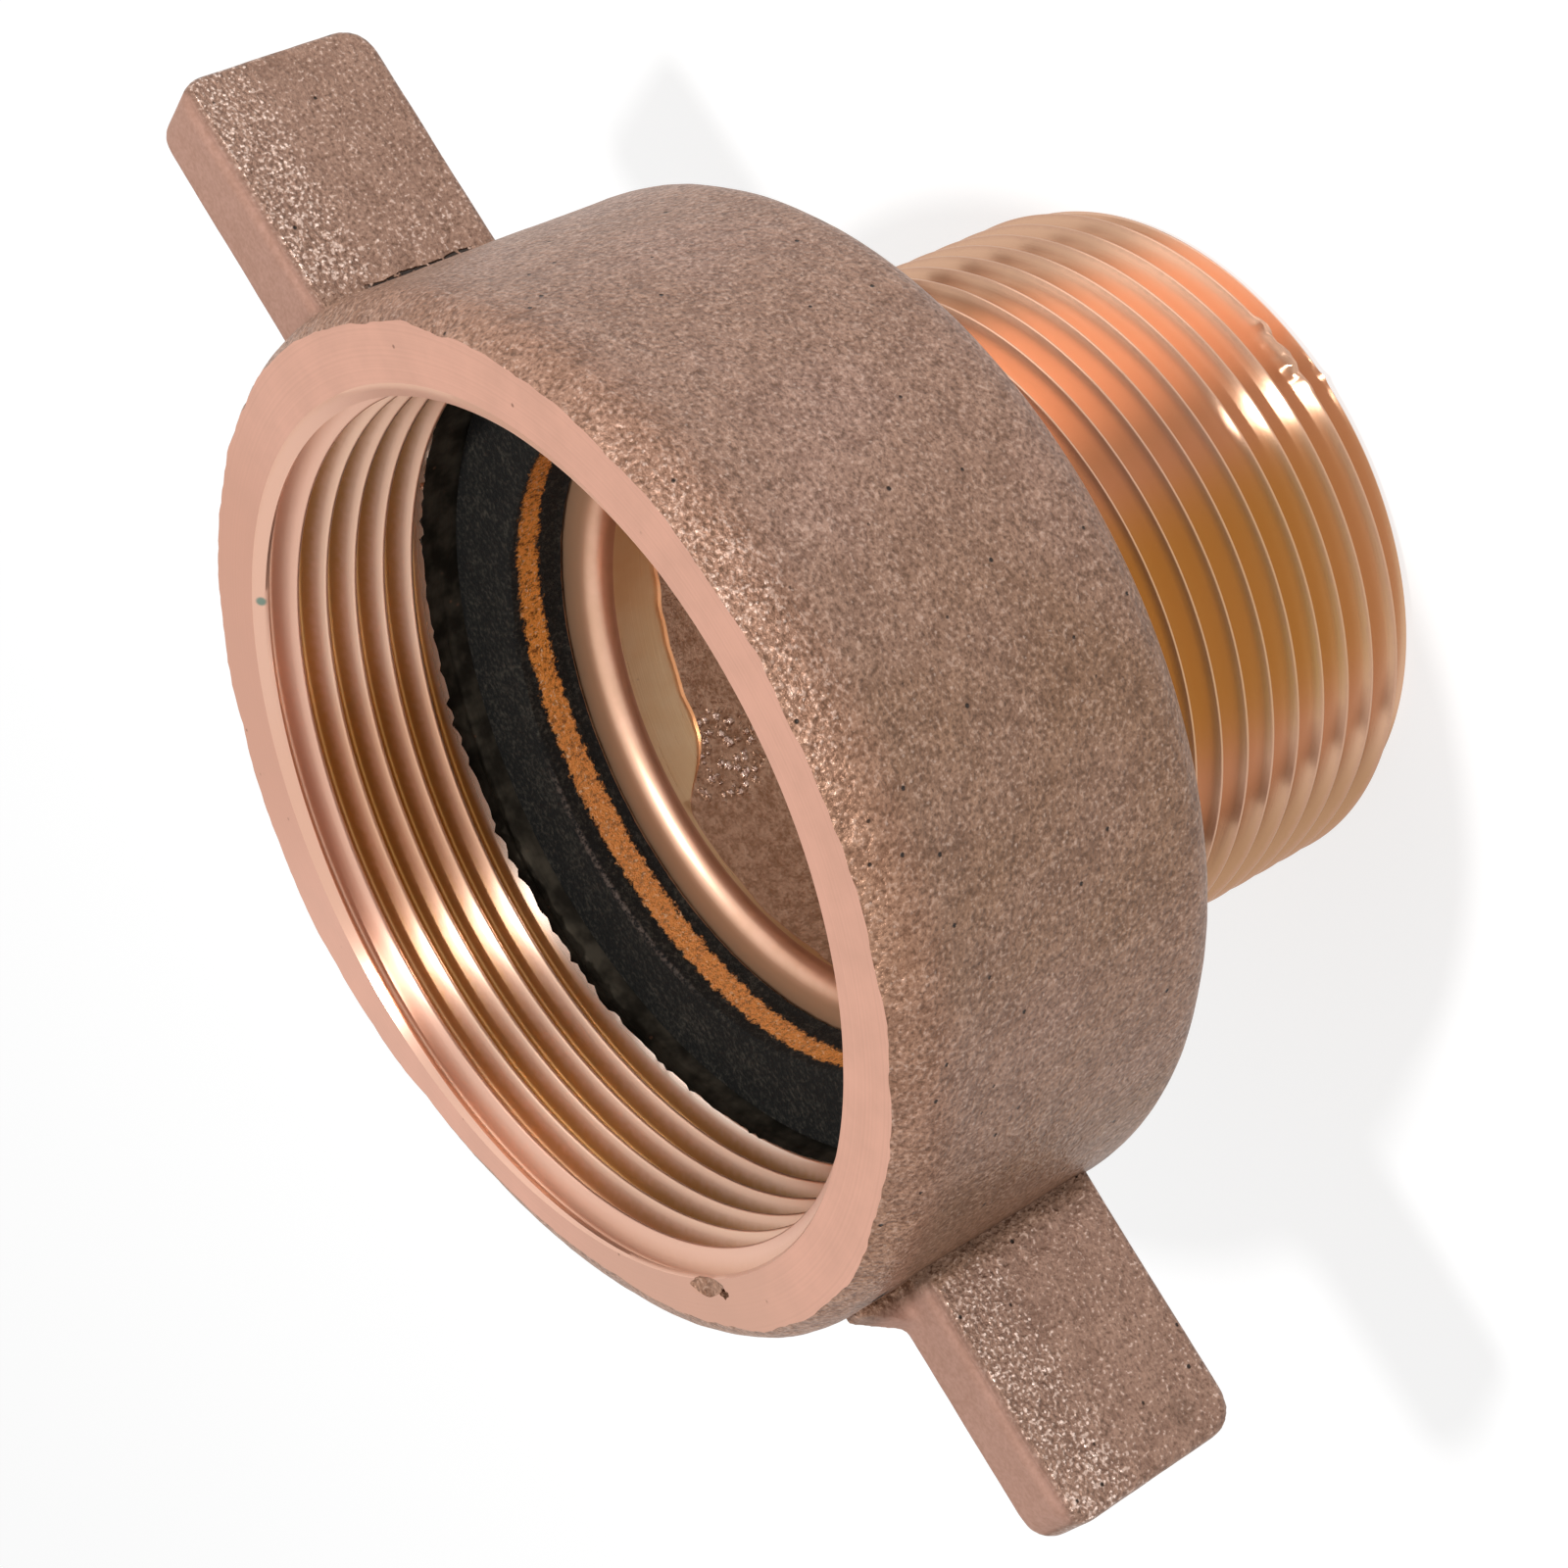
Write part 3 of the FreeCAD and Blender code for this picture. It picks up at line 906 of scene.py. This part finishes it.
def nut_section(thread):
    """Half section of the nut, from the lip round the inside to the mouth and back outside."""
    sizes = bpy.context.scene.adapter_nut
    mouth_z = NUT_HIGH.z
    back_z = NUT_LOW.z
    lip_top = back_z + sizes.lip_thickness
    mouth_edge = sizes.thread_radius + sizes.mouth_chamfer
    run_out_z = sizes.thread_end_z - sizes.run_out_length
    fade_z = run_out_z + 0.8 * MM
    lip_edge_z = back_z + sizes.lip_chamfer

    def mouth(angle, height):
        """Radius of the thread, cut back by the mouth's chamfer."""
        cone = mouth_edge - (mouth_z - height)
        return np.maximum(thread.radius(angle, height), cone)

    def run_out(angle, height):
        """Radius of the relief, with the ends of the thread's grooves in it."""
        groove = thread.radius(angle, height) - sizes.relief_radius
        return sizes.relief_radius + np.maximum(groove, 0) * smooth(height, run_out_z, fade_z)

    def torn(angle):
        """How far the thread's last turn is torn off above its end."""
        return np.abs(rough_edge(angle, 0.35 * MM, 43.0))

    def face(share):
        """Radius on the face, from 0 at the mouth to 1 at its outer edge."""
        return lambda angle: mouth(angle, mouth_z) * (1 - share) + face_edge(angle) * share

    def front_corner(turn):
        """Radius of the corner round the face, from 0 at the face to 1 on the body."""
        return lambda angle: sizes.body_radius - (sizes.body_radius - face_edge(angle)) * (1 - turn) ** 2

    section = Section()
    section.ring(sizes.lip_radius, lip_edge_z, "bore")
    section.line((sizes.lip_radius,) * 2, (lip_edge_z, lip_top), 2, "bore")
    section.line((sizes.lip_radius, sizes.relief_radius), (lip_top, lip_top), 3, "bore")
    section.line((sizes.relief_radius,) * 2, (lip_top, run_out_z), 6, "bore")
    section.thread(thread, run_out_z, sizes.thread_end_z, run_out, "bore")
    section.thread(thread, sizes.thread_end_z, mouth_z, mouth, "thread", torn)
    for share in (0.0, 0.01, 0.2, 0.4, 0.6, 0.8, 0.99, 1.0):
        section.ring(face(share), mouth_z, "face")
    for step in range(1, 9):
        turn = step / 8 * 0.98
        section.ring(front_corner(turn), mouth_z - sizes.front_round * turn, "skin")
    low = back_z + sizes.back_round
    section.line((sizes.body_radius,) * 2, (mouth_z - sizes.front_round, low), 26, "skin")
    for step in range(1, 7):
        turn = step / 6 * math.pi / 2
        section.ring(
            sizes.body_radius - sizes.back_round * (1 - math.cos(turn)),
            low - sizes.back_round * math.sin(turn), "skin")
    inner = sizes.lip_radius + sizes.lip_chamfer
    section.line((sizes.body_radius - sizes.back_round, inner), (back_z, back_z), 8, "skin")
    section.ring(sizes.lip_radius, lip_edge_z, "bore")
    return section


def cast_unevenness(point, depth):
    """Depth of the casting's soft unevenness at a point, from 0 down to -depth."""
    slow = noise.noise(point * (1 / (9 * MM)))
    quick = noise.noise(point * (1 / (3.2 * MM)))
    sharp = noise.noise(point * (1 / (1.5 * MM)))
    return -depth * (0.5 + 0.5 * (0.5 * slow + 0.3 * quick + 0.2 * sharp))


class ADAPTER_OT_nut(bpy.types.Operator):
    """Models the swivel nut with its female thread and both lugs"""
    bl_idname = "adapter.nut"
    bl_label = "Swivel nut"

    def execute(self, context):
        sizes = context.scene.adapter_nut
        thread = Thread(
            sizes.thread_radius, sizes.thread_crest_z, False, sizes.crest_rounding, sizes.root_rounding)

        def shape(angles, radii, heights):
            outside = radii > sizes.face_radius + 0.3 * MM
            for column, row in zip(*np.nonzero(outside)):
                angle = angles[column, row] % TURN
                radius = radii[column, row]
                x, y = radius * math.cos(angle), radius * math.sin(angle)
                point = Vector((x, y, heights[column, row]))
                radii[column, row] += cast_unevenness(point, sizes.unevenness)
            return radii, heights

        skin = cast_skin()
        face = mouth_face()
        # Painted shade: the relief and the lip are coloured near black
        shaded_relief_light, shaded_relief_dark = (0.085, 0.071, 0.053), (0.025, 0.021, 0.016)
        relief = turned_metal("shaded_relief_metal", shaded_relief_light, shaded_relief_dark, 0.7, 0.02 * MM)
        finishes = {"skin": skin, "face": face, "bore": relief, "thread": female_thread()}
        piece = turned_piece("nut_casting", nut_section(thread), NUT_COLUMNS, finishes, shape)
        for lug in (first_lug(skin), second_lug(skin)):
            combine(piece, lug, "UNION")
        for void in casting_voids(skin):
            combine(piece, void, "DIFFERENCE")
        bpy.ops.object.shade_smooth_by_angle(angle=SHARP_FROM)
        paint(piece, "groove", lambda x, y, z: thread.groove(np.arctan2(y, x), z))
        paint(piece, "glint_zone", glint_zone)
        paint(piece, "lug_front", lug_front)
        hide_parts("swivel_nut")
        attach(piece, "nut")
        return {"FINISHED"}


def block(name, low, high):
    """A box between two corners, with its place in its mesh."""
    deselect()
    bpy.ops.mesh.primitive_cube_add(size=1)
    piece = bpy.context.object
    piece.name = name
    size = [top - bottom for bottom, top in zip(low, high)]
    middle = [(top + bottom) / 2 for bottom, top in zip(low, high)]
    bpy.ops.object.mode_set(mode="EDIT")
    bpy.ops.transform.resize(value=size)
    bpy.ops.transform.translate(value=middle)
    bpy.ops.object.mode_set(mode="OBJECT")
    return piece


def lug_form(name, reach, mid_z, root_thickness, tip_thickness):
    """A tongue along +X with rounded tip corners and edges, thinner at its tip."""
    sizes = bpy.context.scene.adapter_lugs
    root_x = lug_start()
    half_width = sizes.width / 2
    half = root_thickness / 2
    middle_x = (root_x + reach) / 2
    slight = 1 * MM
    piece = block(name, (root_x, -half, mid_z - half_width), (reach, half, mid_z + half_width))
    for vertex in piece.data.vertices:
        if vertex.co.x > middle_x:
            vertex.co.y *= tip_thickness / root_thickness
    pick_edges(piece, lambda a, b: min(a.x, b.x) > middle_x and abs(a.y - b.y) > slight)
    bpy.ops.mesh.bevel(offset=sizes.tip_corner, segments=6)
    bpy.ops.object.mode_set(mode="OBJECT")
    pick_edges(piece, lambda a, b: abs(a.y - b.y) < slight and max(a.x, b.x) > root_x + slight)
    bpy.ops.mesh.bevel(offset=sizes.edge, segments=3)
    bpy.ops.object.mode_set(mode="OBJECT")
    return piece


def lug_start():
    """How far from the axis the lugs start, inside the body."""
    scene = bpy.context.scene
    return scene.adapter_nut.body_radius - scene.adapter_lugs.overlap


def pick_edges(piece, wanted):
    """Selects the edges whose two ends pass the test, and stays in edit mode."""
    deselect()
    bpy.context.view_layer.objects.active = piece
    piece.select_set(True)
    bpy.ops.object.mode_set(mode="EDIT")
    bpy.ops.mesh.select_mode(type="EDGE")
    bpy.ops.mesh.select_all(action="DESELECT")
    bpy.ops.object.mode_set(mode="OBJECT")
    mesh = piece.data
    for edge in mesh.edges:
        first, second = (mesh.vertices[index].co for index in edge.vertices)
        edge.select = bool(wanted(first, second))
    bpy.ops.object.mode_set(mode="EDIT")


def soften(piece, voxel, rounds):
    """Turns a rough form into one even skin with soft corners, as sand casting leaves it."""
    deselect()
    bpy.context.view_layer.objects.active = piece
    piece.select_set(True)
    bpy.ops.object.modifier_add(type="REMESH")
    remesh = piece.modifiers[-1]
    remesh.mode = "VOXEL"
    remesh.voxel_size = voxel
    bpy.ops.object.modifier_apply(modifier=remesh.name)
    bpy.ops.object.modifier_add(type="SMOOTH")
    calm = piece.modifiers[-1]
    calm.factor = 0.5
    calm.iterations = rounds
    bpy.ops.object.modifier_apply(modifier=calm.name)


def merge_forms(forms):
    """Joins several forms into the first one's object."""
    deselect()
    for form in forms:
        form.select_set(True)
    bpy.context.view_layer.objects.active = forms[0]
    bpy.ops.object.join()
    return forms[0]


def combine(piece, other, operation):
    """Adds another closed form to a piece, or cuts it out, and removes that form."""
    deselect()
    bpy.context.view_layer.objects.active = piece
    piece.select_set(True)
    bpy.ops.object.modifier_add(type="BOOLEAN")
    change = piece.modifiers[-1]
    change.operation = operation
    change.solver = "EXACT"
    change.object = other
    bpy.ops.object.modifier_apply(modifier=change.name)
    bpy.data.objects.remove(other)


def glint_zone(x, y, z):
    """Where the painted glints gather and the cast grains stand up more: by the mouth's edge near the
    camera, and on both lugs.
    """
    angle = np.arctan2(y, x)
    radius = np.hypot(x, y)
    at_edge = wave(angle, -88, 30) * smooth(z, 50.5 * MM, 53 * MM) * (radius < NUT_HIGH.y + 1 * MM)
    on_face = (y < -2 * MM) & (radius > NUT_HIGH.y + 0.3 * MM)
    first = (x > 0) * smooth(z, 43.6 * MM, 45.4 * MM) * smooth(x, 35.5 * MM, 38 * MM)
    second = (x < 0) * smooth(z, 42.2 * MM, 44.4 * MM) * smooth(-x, 34 * MM, 38 * MM)
    return np.maximum(at_edge * 0.7, on_face * (first + second) * 0.75)


def lug_front(x, y, z):
    """1 on the even edges of the lugs that face the mouth's side."""
    sizes = bpy.context.scene.adapter_lugs
    beyond = smooth(np.hypot(x, y), NUT_HIGH.y, NUT_HIGH.y + 1.5 * MM)
    edge = np.where(x > 0, sizes.first_mid_z, sizes.second_mid_z) + sizes.width / 2
    return beyond * smooth(z, edge - 1.05 * MM, edge - 0.60 * MM)


def lump(name, place, sizes, bearing, seed):
    """A small uneven egg shape, turned to a bearing round the Z axis."""
    deselect()
    bpy.ops.mesh.primitive_ico_sphere_add(subdivisions=4, radius=1)
    piece = bpy.context.object
    piece.name = name
    turn = Matrix.Rotation(math.radians(bearing), 4, "Z")
    for vertex in piece.data.vertices:
        swell = 1 + 0.45 * noise.noise(vertex.co * 1.6 + Vector((seed, 0, 0)))
        vertex.co = turn @ Vector([share * size * swell for share, size in zip(vertex.co, sizes)])
        vertex.co += Vector(place)
    return piece


def at(radius, bearing, height):
    """The point at a radius and bearing round the axis, in millimetres and degrees."""
    turn = math.radians(bearing)
    return (radius * math.cos(turn) * MM, radius * math.sin(turn) * MM, height * MM)


def casting_voids(skin):
    """Forms of the casting voids: one that the facing cut laid open, and one at a lug's root."""
    voids = [
        lump("void", at(30.0, 161.5, 55.25), (0.8 * MM, 1.9 * MM, 0.5 * MM), 161.5, 3.0),
        lump("void_hole", at(30.6, 164.4, 54.9), (0.35 * MM, 0.45 * MM, 1.0 * MM), 164.4, 8.0),
        lump("root_cavity", ROOT_CAVITY, (0.9 * MM, 0.5 * MM, 0.45 * MM), 20.0, 5.0),
    ]
    for void in voids:
        void.data.materials.append(skin)
    return voids


def weather(piece, depth):
    """Gives a lug the casting's soft unevenness, inwards only."""
    mesh = piece.data
    normals = [vertex.normal.copy() for vertex in mesh.vertices]
    for vertex, normal in zip(mesh.vertices, normals):
        vertex.co += normal * cast_unevenness(vertex.co, depth)
    mesh.update()


def cast_form(piece, skin):
    """Gives a lug the soft, uneven skin of sand casting."""
    soften(piece, voxel=0.3 * MM, rounds=3)
    weather(piece, bpy.context.scene.adapter_lugs.unevenness)
    piece.data.materials.clear()
    piece.data.materials.append(skin)
    return piece


def first_lug(skin):
    """The longer lug, at +X: sharp at its root."""
    sizes = bpy.context.scene.adapter_lugs
    reach = NUT_HIGH.x - INSIDE
    tongue = lug_form("first_lug", reach, sizes.first_mid_z, sizes.first_root, sizes.first_tip)
    return cast_form(tongue, skin)


def second_lug(skin):
    """The shorter lug, at -X, with a web on the mouth's side of its root."""
    sizes = bpy.context.scene.adapter_lugs
    reach = -NUT_LOW.x - INSIDE
    root_x = lug_start()
    tongue = lug_form("second_lug", reach, sizes.second_mid_z, sizes.second_root, sizes.second_tip)
    web = block("web", (root_x, WEB_SIDE, WEB_LOW), (WEB_FOOT, 0.0, WEB_HIGH))
    for vertex in web.data.vertices:
        if vertex.co.z > WEB_LOW + 1 * MM and vertex.co.x > root_x + 1 * MM:
            vertex.co.x = WEB_HEAD
    piece = cast_form(merge_forms([tongue, web]), skin)
    piece.data.transform(Matrix.Rotation(math.pi, 4, "Z"))
    return piece


def tail_section(thread):
    """Half section of the tail, from the end face up the thread, over the flange and down the bore."""
    sizes = bpy.context.scene.adapter_tail
    end_z = TAIL_LOW.z
    end_radius = sizes.thread_radius - sizes.end_chamfer
    bore_mouth = sizes.cast_radius + sizes.bore_chamfer
    flange_radius = TAIL_HIGH.y
    flange_face = TAIL_HIGH.z
    flange_back = flange_face - sizes.flange_thickness
    edge = sizes.flange_edge
    fade_length = 1.5 * MM
    burr = 0.06 * MM
    below_burr = 0.2 * MM

    def stem(angle, height):
        """Radius of the thread, run out at the neck and cut back by the end's chamfer."""
        cut = thread.radius(angle, height)
        fade = smooth(height, sizes.neck_z - fade_length, sizes.neck_z)
        cut = cut * (1 - fade) + sizes.neck_radius * fade
        return np.minimum(cut, end_radius + height - end_z)

    def tongue(angle):
        """1 on the side on which the bore is turned further, 0 on the other."""
        away = np.abs((np.degrees(angle) - TONGUE_BEARING + 180) % 360 - 180)
        return 1 - smooth(away, TONGUE_FULL, TONGUE_GONE)

    def boundary(angle):
        """Height at which the turned end of the bore stops."""
        wander = 0.12 * MM * np.sin(2 * angle + 1.0) + rough_edge(angle, 0.22 * MM, 9.0)
        return sizes.turned_end_z + wander - sizes.tongue_length * tongue(angle)

    def step(angle):
        """Radius of the bore below the turned end."""
        return sizes.turned_radius - (sizes.turned_radius - sizes.cast_radius) * tongue(angle)

    def cast_radius(share):
        """Radius of the cast bore, from 0 below the turned end to 1 at the tail's end."""
        return lambda angle: step(angle) * (1 - share) + sizes.cast_radius * share

    def cast_height(share):
        """Height in the cast bore, over the same way."""
        low = end_z + sizes.bore_chamfer
        return lambda angle: (boundary(angle) - below_burr) * (1 - share) + low * share

    section = Section()
    section.ring(bore_mouth, end_z, "end")
    section.line((bore_mouth, end_radius), (end_z, end_z), 4, "end")
    section.thread(thread, end_z, sizes.neck_z, stem, "thread")
    section.line((sizes.neck_radius,) * 2, (sizes.neck_z, flange_back), 2, "bore")
    section.line((sizes.neck_radius, flange_radius - edge), (flange_back, flange_back), 2, "bore")
    section.ring(flange_radius, flange_back + edge, "bore")
    section.ring(flange_radius, flange_face - edge, "bore")
    section.ring(flange_radius - edge, flange_face, "bore")
    rise = math.pi / 2 - sizes.bell_slope
    foot_radius = sizes.turned_radius + sizes.bell_radius * (1 - math.cos(rise))
    entry_z = flange_face - sizes.bell_drop
    foot_z = entry_z - (sizes.bell_edge - foot_radius) * math.tan(sizes.bell_slope)
    centre_z = foot_z - sizes.bell_radius * math.sin(rise)
    rim_radius = sizes.bell_edge + 0.2 * MM
    section.line((flange_radius - edge, rim_radius), (flange_face, flange_face), 4, "bell")
    section.ring(sizes.bell_edge, entry_z, "bell")
    section.line((sizes.bell_edge, foot_radius), (entry_z, foot_z), 5, "bell")
    for stage in range(1, 13):
        turn = rise * (1 - stage / 12)
        section.ring(
            sizes.turned_radius + sizes.bell_radius * (1 - math.cos(turn)),
            centre_z + sizes.bell_radius * math.sin(turn), "bell")
    section.ring(sizes.turned_radius, lambda angle: boundary(angle) + burr, "bore")
    section.ring(lambda angle: step(angle) - burr * tongue(angle), boundary, "bell")
    section.ring(step, lambda angle: boundary(angle) - below_burr, "cast")
    for share in np.linspace(0, 1, 22)[1:]:
        section.ring(cast_radius(share), cast_height(share), "cast")
    section.ring(bore_mouth, end_z, "end")
    return section


class ADAPTER_OT_tail(bpy.types.Operator):
    """Models the tail with its flange, male thread and waterway"""
    bl_idname = "adapter.tail"
    bl_label = "Threaded tail"

    def execute(self, context):
        sizes = context.scene.adapter_tail
        thread = Thread(
            sizes.thread_radius, sizes.thread_crest_z, True, sizes.crest_rounding, sizes.root_rounding)

        def shape(angles, radii, heights):
            highest = sizes.thread_radius + 0.2 * MM
            deepest = sizes.thread_radius - 1.6 * MM
            outside = (radii > deepest) & (heights < NUT_LOW.z)
            for place, reach, lift in THREAD_BRUISES:
                far = np.sqrt((radii * np.cos(angles) - place[0]) ** 2
                              + (radii * np.sin(angles) - place[1]) ** 2
                              + (heights - place[2]) ** 2)
                for column, row in zip(*np.nonzero(outside & (far < reach))):
                    fade = 1 - smooth(far[column, row], 0.3 * reach, reach)
                    turn = angles[column, row]
                    rise = heights[column, row] / (0.6 * MM)
                    point = Vector((math.cos(turn) * 40, math.sin(turn) * 40, rise))
                    radii[column, row] += lift * fade * (0.4 + noise.noise(point))
            return np.minimum(radii, highest), heights

        finishes = {
            "end": turned_metal("tail_end", (0.80, 0.50, 0.38), (0.70, 0.42, 0.30), 0.30, 0.01 * MM),
            "thread": male_thread(),
            "bell": bell_mouth(),
            "bore": turned_metal("turned_bore", (0.96, 0.735, 0.46), (0.93, 0.68, 0.40), 0.24, 0.006 * MM),
            "cast": cast_bore(),
        }
        piece = turned_piece("threaded_tail", tail_section(thread), TAIL_COLUMNS, finishes, shape)
        paint(piece, "groove", lambda x, y, z: thread.groove(np.arctan2(y, x), z))
        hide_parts("tailpiece")
        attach(piece, "tail")
        return {"FINISHED"}


def core_band(angle):
    """Lower and upper height of the washer's tan core along its inner edge."""
    high = WASHER_HIGH.z - CORE_SKIN
    low = high - bpy.context.scene.adapter_washer.core_thickness
    low_dip, high_dip = [
        deep * wave(angle, middle, reach) for deep, middle, reach in (CORE_LOW_DIP, CORE_HIGH_DIP)]
    return low - low_dip, high - high_dip


class ADAPTER_OT_washer(bpy.types.Operator):
    """Models the fibre washer that lies on the flange"""
    bl_idname = "adapter.washer"
    bl_label = "Fibre washer"

    def execute(self, context):
        sizes = context.scene.adapter_washer
        edge = sizes.edge
        inner, outer = sizes.inner_radius, WASHER_HIGH.y
        low, high = WASHER_LOW.z, WASHER_HIGH.z
        lip = inner - sizes.lip_reach
        lip_low = low - context.scene.adapter_tail.bell_drop + sizes.lip_gap
        lip_high = lip_low + edge / 4
        section = Section()
        section.ring(lip, lip_high, "fibre")
        section.line((lip, inner), (lip_high, low + edge), 4, "fibre")
        section.line((inner, inner), (low + edge, high - edge), 12, "fibre")
        section.ring(inner + edge, high, "fibre")
        section.line((inner + edge, outer - edge), (high, high), 14, "fibre")
        section.line((outer, outer), (high - edge, low + edge), 4, "fibre")
        section.line((outer - edge, inner + 1.5 * edge), (low, low), 4, "fibre")
        section.ring(inner + 0.5 * edge, lip_low, "fibre")
        section.ring(lip, lip_high, "fibre")

        def shape(angles, radii, heights):
            at_edge = radii < inner + 0.5 * edge
            radii = radii + at_edge * np.abs(rough_edge(angles, 0.12 * MM, 23.0))
            return radii, heights

        finishes = {"fibre": fibre("washer_fibre")}
        piece = turned_piece("fibre_washer", section, WASHER_COLUMNS, finishes, shape)
        paint(piece, "core_low", lambda x, y, z: core_band(np.arctan2(y, x))[0])
        paint(piece, "core_high", lambda x, y, z: core_band(np.arctan2(y, x))[1])
        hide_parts("sealing_washer")
        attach(piece, "tail")
        return {"FINISHED"}


def world_light(ambient):
    """White for the camera and for reflections, softer as light."""
    world = bpy.data.worlds.new("studio")
    bpy.context.scene.world = world
    world.use_nodes = True
    tree = world.node_tree
    background = tree.nodes["Background"]
    rays = tree.nodes.new("ShaderNodeLightPath")
    seen = tree.nodes.new("ShaderNodeMath")
    seen.operation = "MAXIMUM"
    tree.links.new(rays.outputs["Is Camera Ray"], seen.inputs[0])
    tree.links.new(rays.outputs["Is Glossy Ray"], seen.inputs[1])
    through = tree.nodes.new("ShaderNodeMath")
    through.operation = "MAXIMUM"
    tree.links.new(seen.outputs[0], through.inputs[0])
    tree.links.new(rays.outputs["Is Transmission Ray"], through.inputs[1])
    level = tree.nodes.new("ShaderNodeMapRange")
    level.inputs["To Min"].default_value = ambient
    level.inputs["To Max"].default_value = 1.0
    tree.links.new(through.outputs[0], level.inputs["Value"])
    tree.links.new(level.outputs["Result"], background.inputs["Strength"])
    background.inputs["Color"].default_value = (1.0, 1.0, 1.0, 1.0)


def floor_finish():
    """Pale floor that looks white and still shows a soft shadow."""
    finish = Finish("floor_white")
    rays = finish.add("LightPath")
    seen = Value(finish, rays.outputs["Is Camera Ray"]).maths(
        "MAXIMUM", Value(finish, rays.outputs["Is Glossy Ray"]))
    glow = finish.blend(seen, (0.0, 0.0, 0.0), (0.74, 0.74, 0.74))
    finish.shade(
        Base_Color=(0.38, 0.38, 0.38, 1.0), Roughness=0.9, Specular_IOR_Level=0.0,
        Emission_Color=glow, Emission_Strength=1.0)
    return finish.material


def lamp(name, aim, distance, size, power):
    """A round lamp that shines on the adapter from a direction and is not seen itself."""
    data = bpy.data.lights.new(name, "AREA")
    data.shape = "DISK"
    data.size = size
    data.energy = power
    piece = bpy.data.objects.new(name, data)
    bpy.context.scene.collection.objects.link(piece)
    direction = Vector(aim).normalized()
    piece.location = Vector(LIT_MIDDLE) + direction * distance
    piece.rotation_euler = direction.to_track_quat("Z", "Y").to_euler()
    piece.visible_camera = False


class ADAPTER_OT_stage(bpy.types.Operator):
    """Sets up the pale floor, the soft light and the camera"""
    bl_idname = "adapter.stage"
    bl_label = "Stage"

    def execute(self, context):
        scene = context.scene
        studio = scene.adapter_studio
        scene.view_settings.view_transform = "Standard"
        deselect()
        bpy.ops.mesh.primitive_circle_add(vertices=96, radius=6.0, fill_type="NGON")
        floor = bpy.context.object
        floor.name = "floor"
        floor.data.materials.append(floor_finish())
        world_light(studio.ambient)

        camera_data = bpy.data.cameras.new("photo_camera")
        camera_data.lens = CAMERA_LENS
        camera_data.sensor_width = CAMERA_SENSOR
        camera_data.clip_start = 10 * MM
        camera = bpy.data.objects.new("photo_camera", camera_data)
        scene.collection.objects.link(camera)
        right = Vector(CAMERA_RIGHT)
        up = Vector(CAMERA_UP)
        back = right.cross(up)
        turn = Matrix((right, up, back)).transposed().to_4x4()
        camera.matrix_world = Matrix.Translation(CAMERA_PLACE) @ turn
        scene.camera = camera

        lamp("key_lamp", KEY_AIM, KEY_DISTANCE, studio.key_size, studio.key_power)
        lamp("side_lamp", SIDE_AIM, SIDE_DISTANCE, studio.side_size, studio.side_power)
        return {"FINISHED"}


class ADAPTER_PT_panel(bpy.types.Panel):
    """Lists the steps, sizes and colours of the adapter"""
    bl_idname = "ADAPTER_PT_panel"
    bl_label = "Pipe adapter"
    bl_space_type = "VIEW_3D"
    bl_region_type = "UI"
    bl_category = "Adapter"

    def draw(self, context):
        layout = self.layout
        for step in STEPS:
            layout.operator(step.bl_idname)
        for name, kind in GROUPS.items():
            layout.label(text=kind.__doc__)
            group = getattr(context.scene, name)
            for key in kind.__annotations__:
                layout.prop(group, key)


GROUPS = {
    "adapter_nut": AdapterNut,
    "adapter_lugs": AdapterLugs,
    "adapter_tail": AdapterTail,
    "adapter_washer": AdapterWasher,
    "adapter_colours": AdapterColours,
    "adapter_studio": AdapterStudio,
}
STEPS = (ADAPTER_OT_stage, ADAPTER_OT_washer, ADAPTER_OT_tail, ADAPTER_OT_nut)


def register():
    for group in GROUPS.values():
        bpy.utils.register_class(group)
    for step in STEPS:
        bpy.utils.register_class(step)
    bpy.utils.register_class(ADAPTER_PT_panel)
    for name, group in GROUPS.items():
        setattr(bpy.types.Scene, name, bpy.props.PointerProperty(type=group))


def unregister():
    for name in GROUPS:
        delattr(bpy.types.Scene, name)
    bpy.utils.unregister_class(ADAPTER_PT_panel)
    for step in reversed(STEPS):
        bpy.utils.unregister_class(step)
    for group in GROUPS.values():
        bpy.utils.unregister_class(group)


def main():
    register()
    bpy.ops.adapter.stage()
    bpy.ops.adapter.washer()
    bpy.ops.adapter.tail()
    bpy.ops.adapter.nut()


if __name__ == "__main__":
    main()
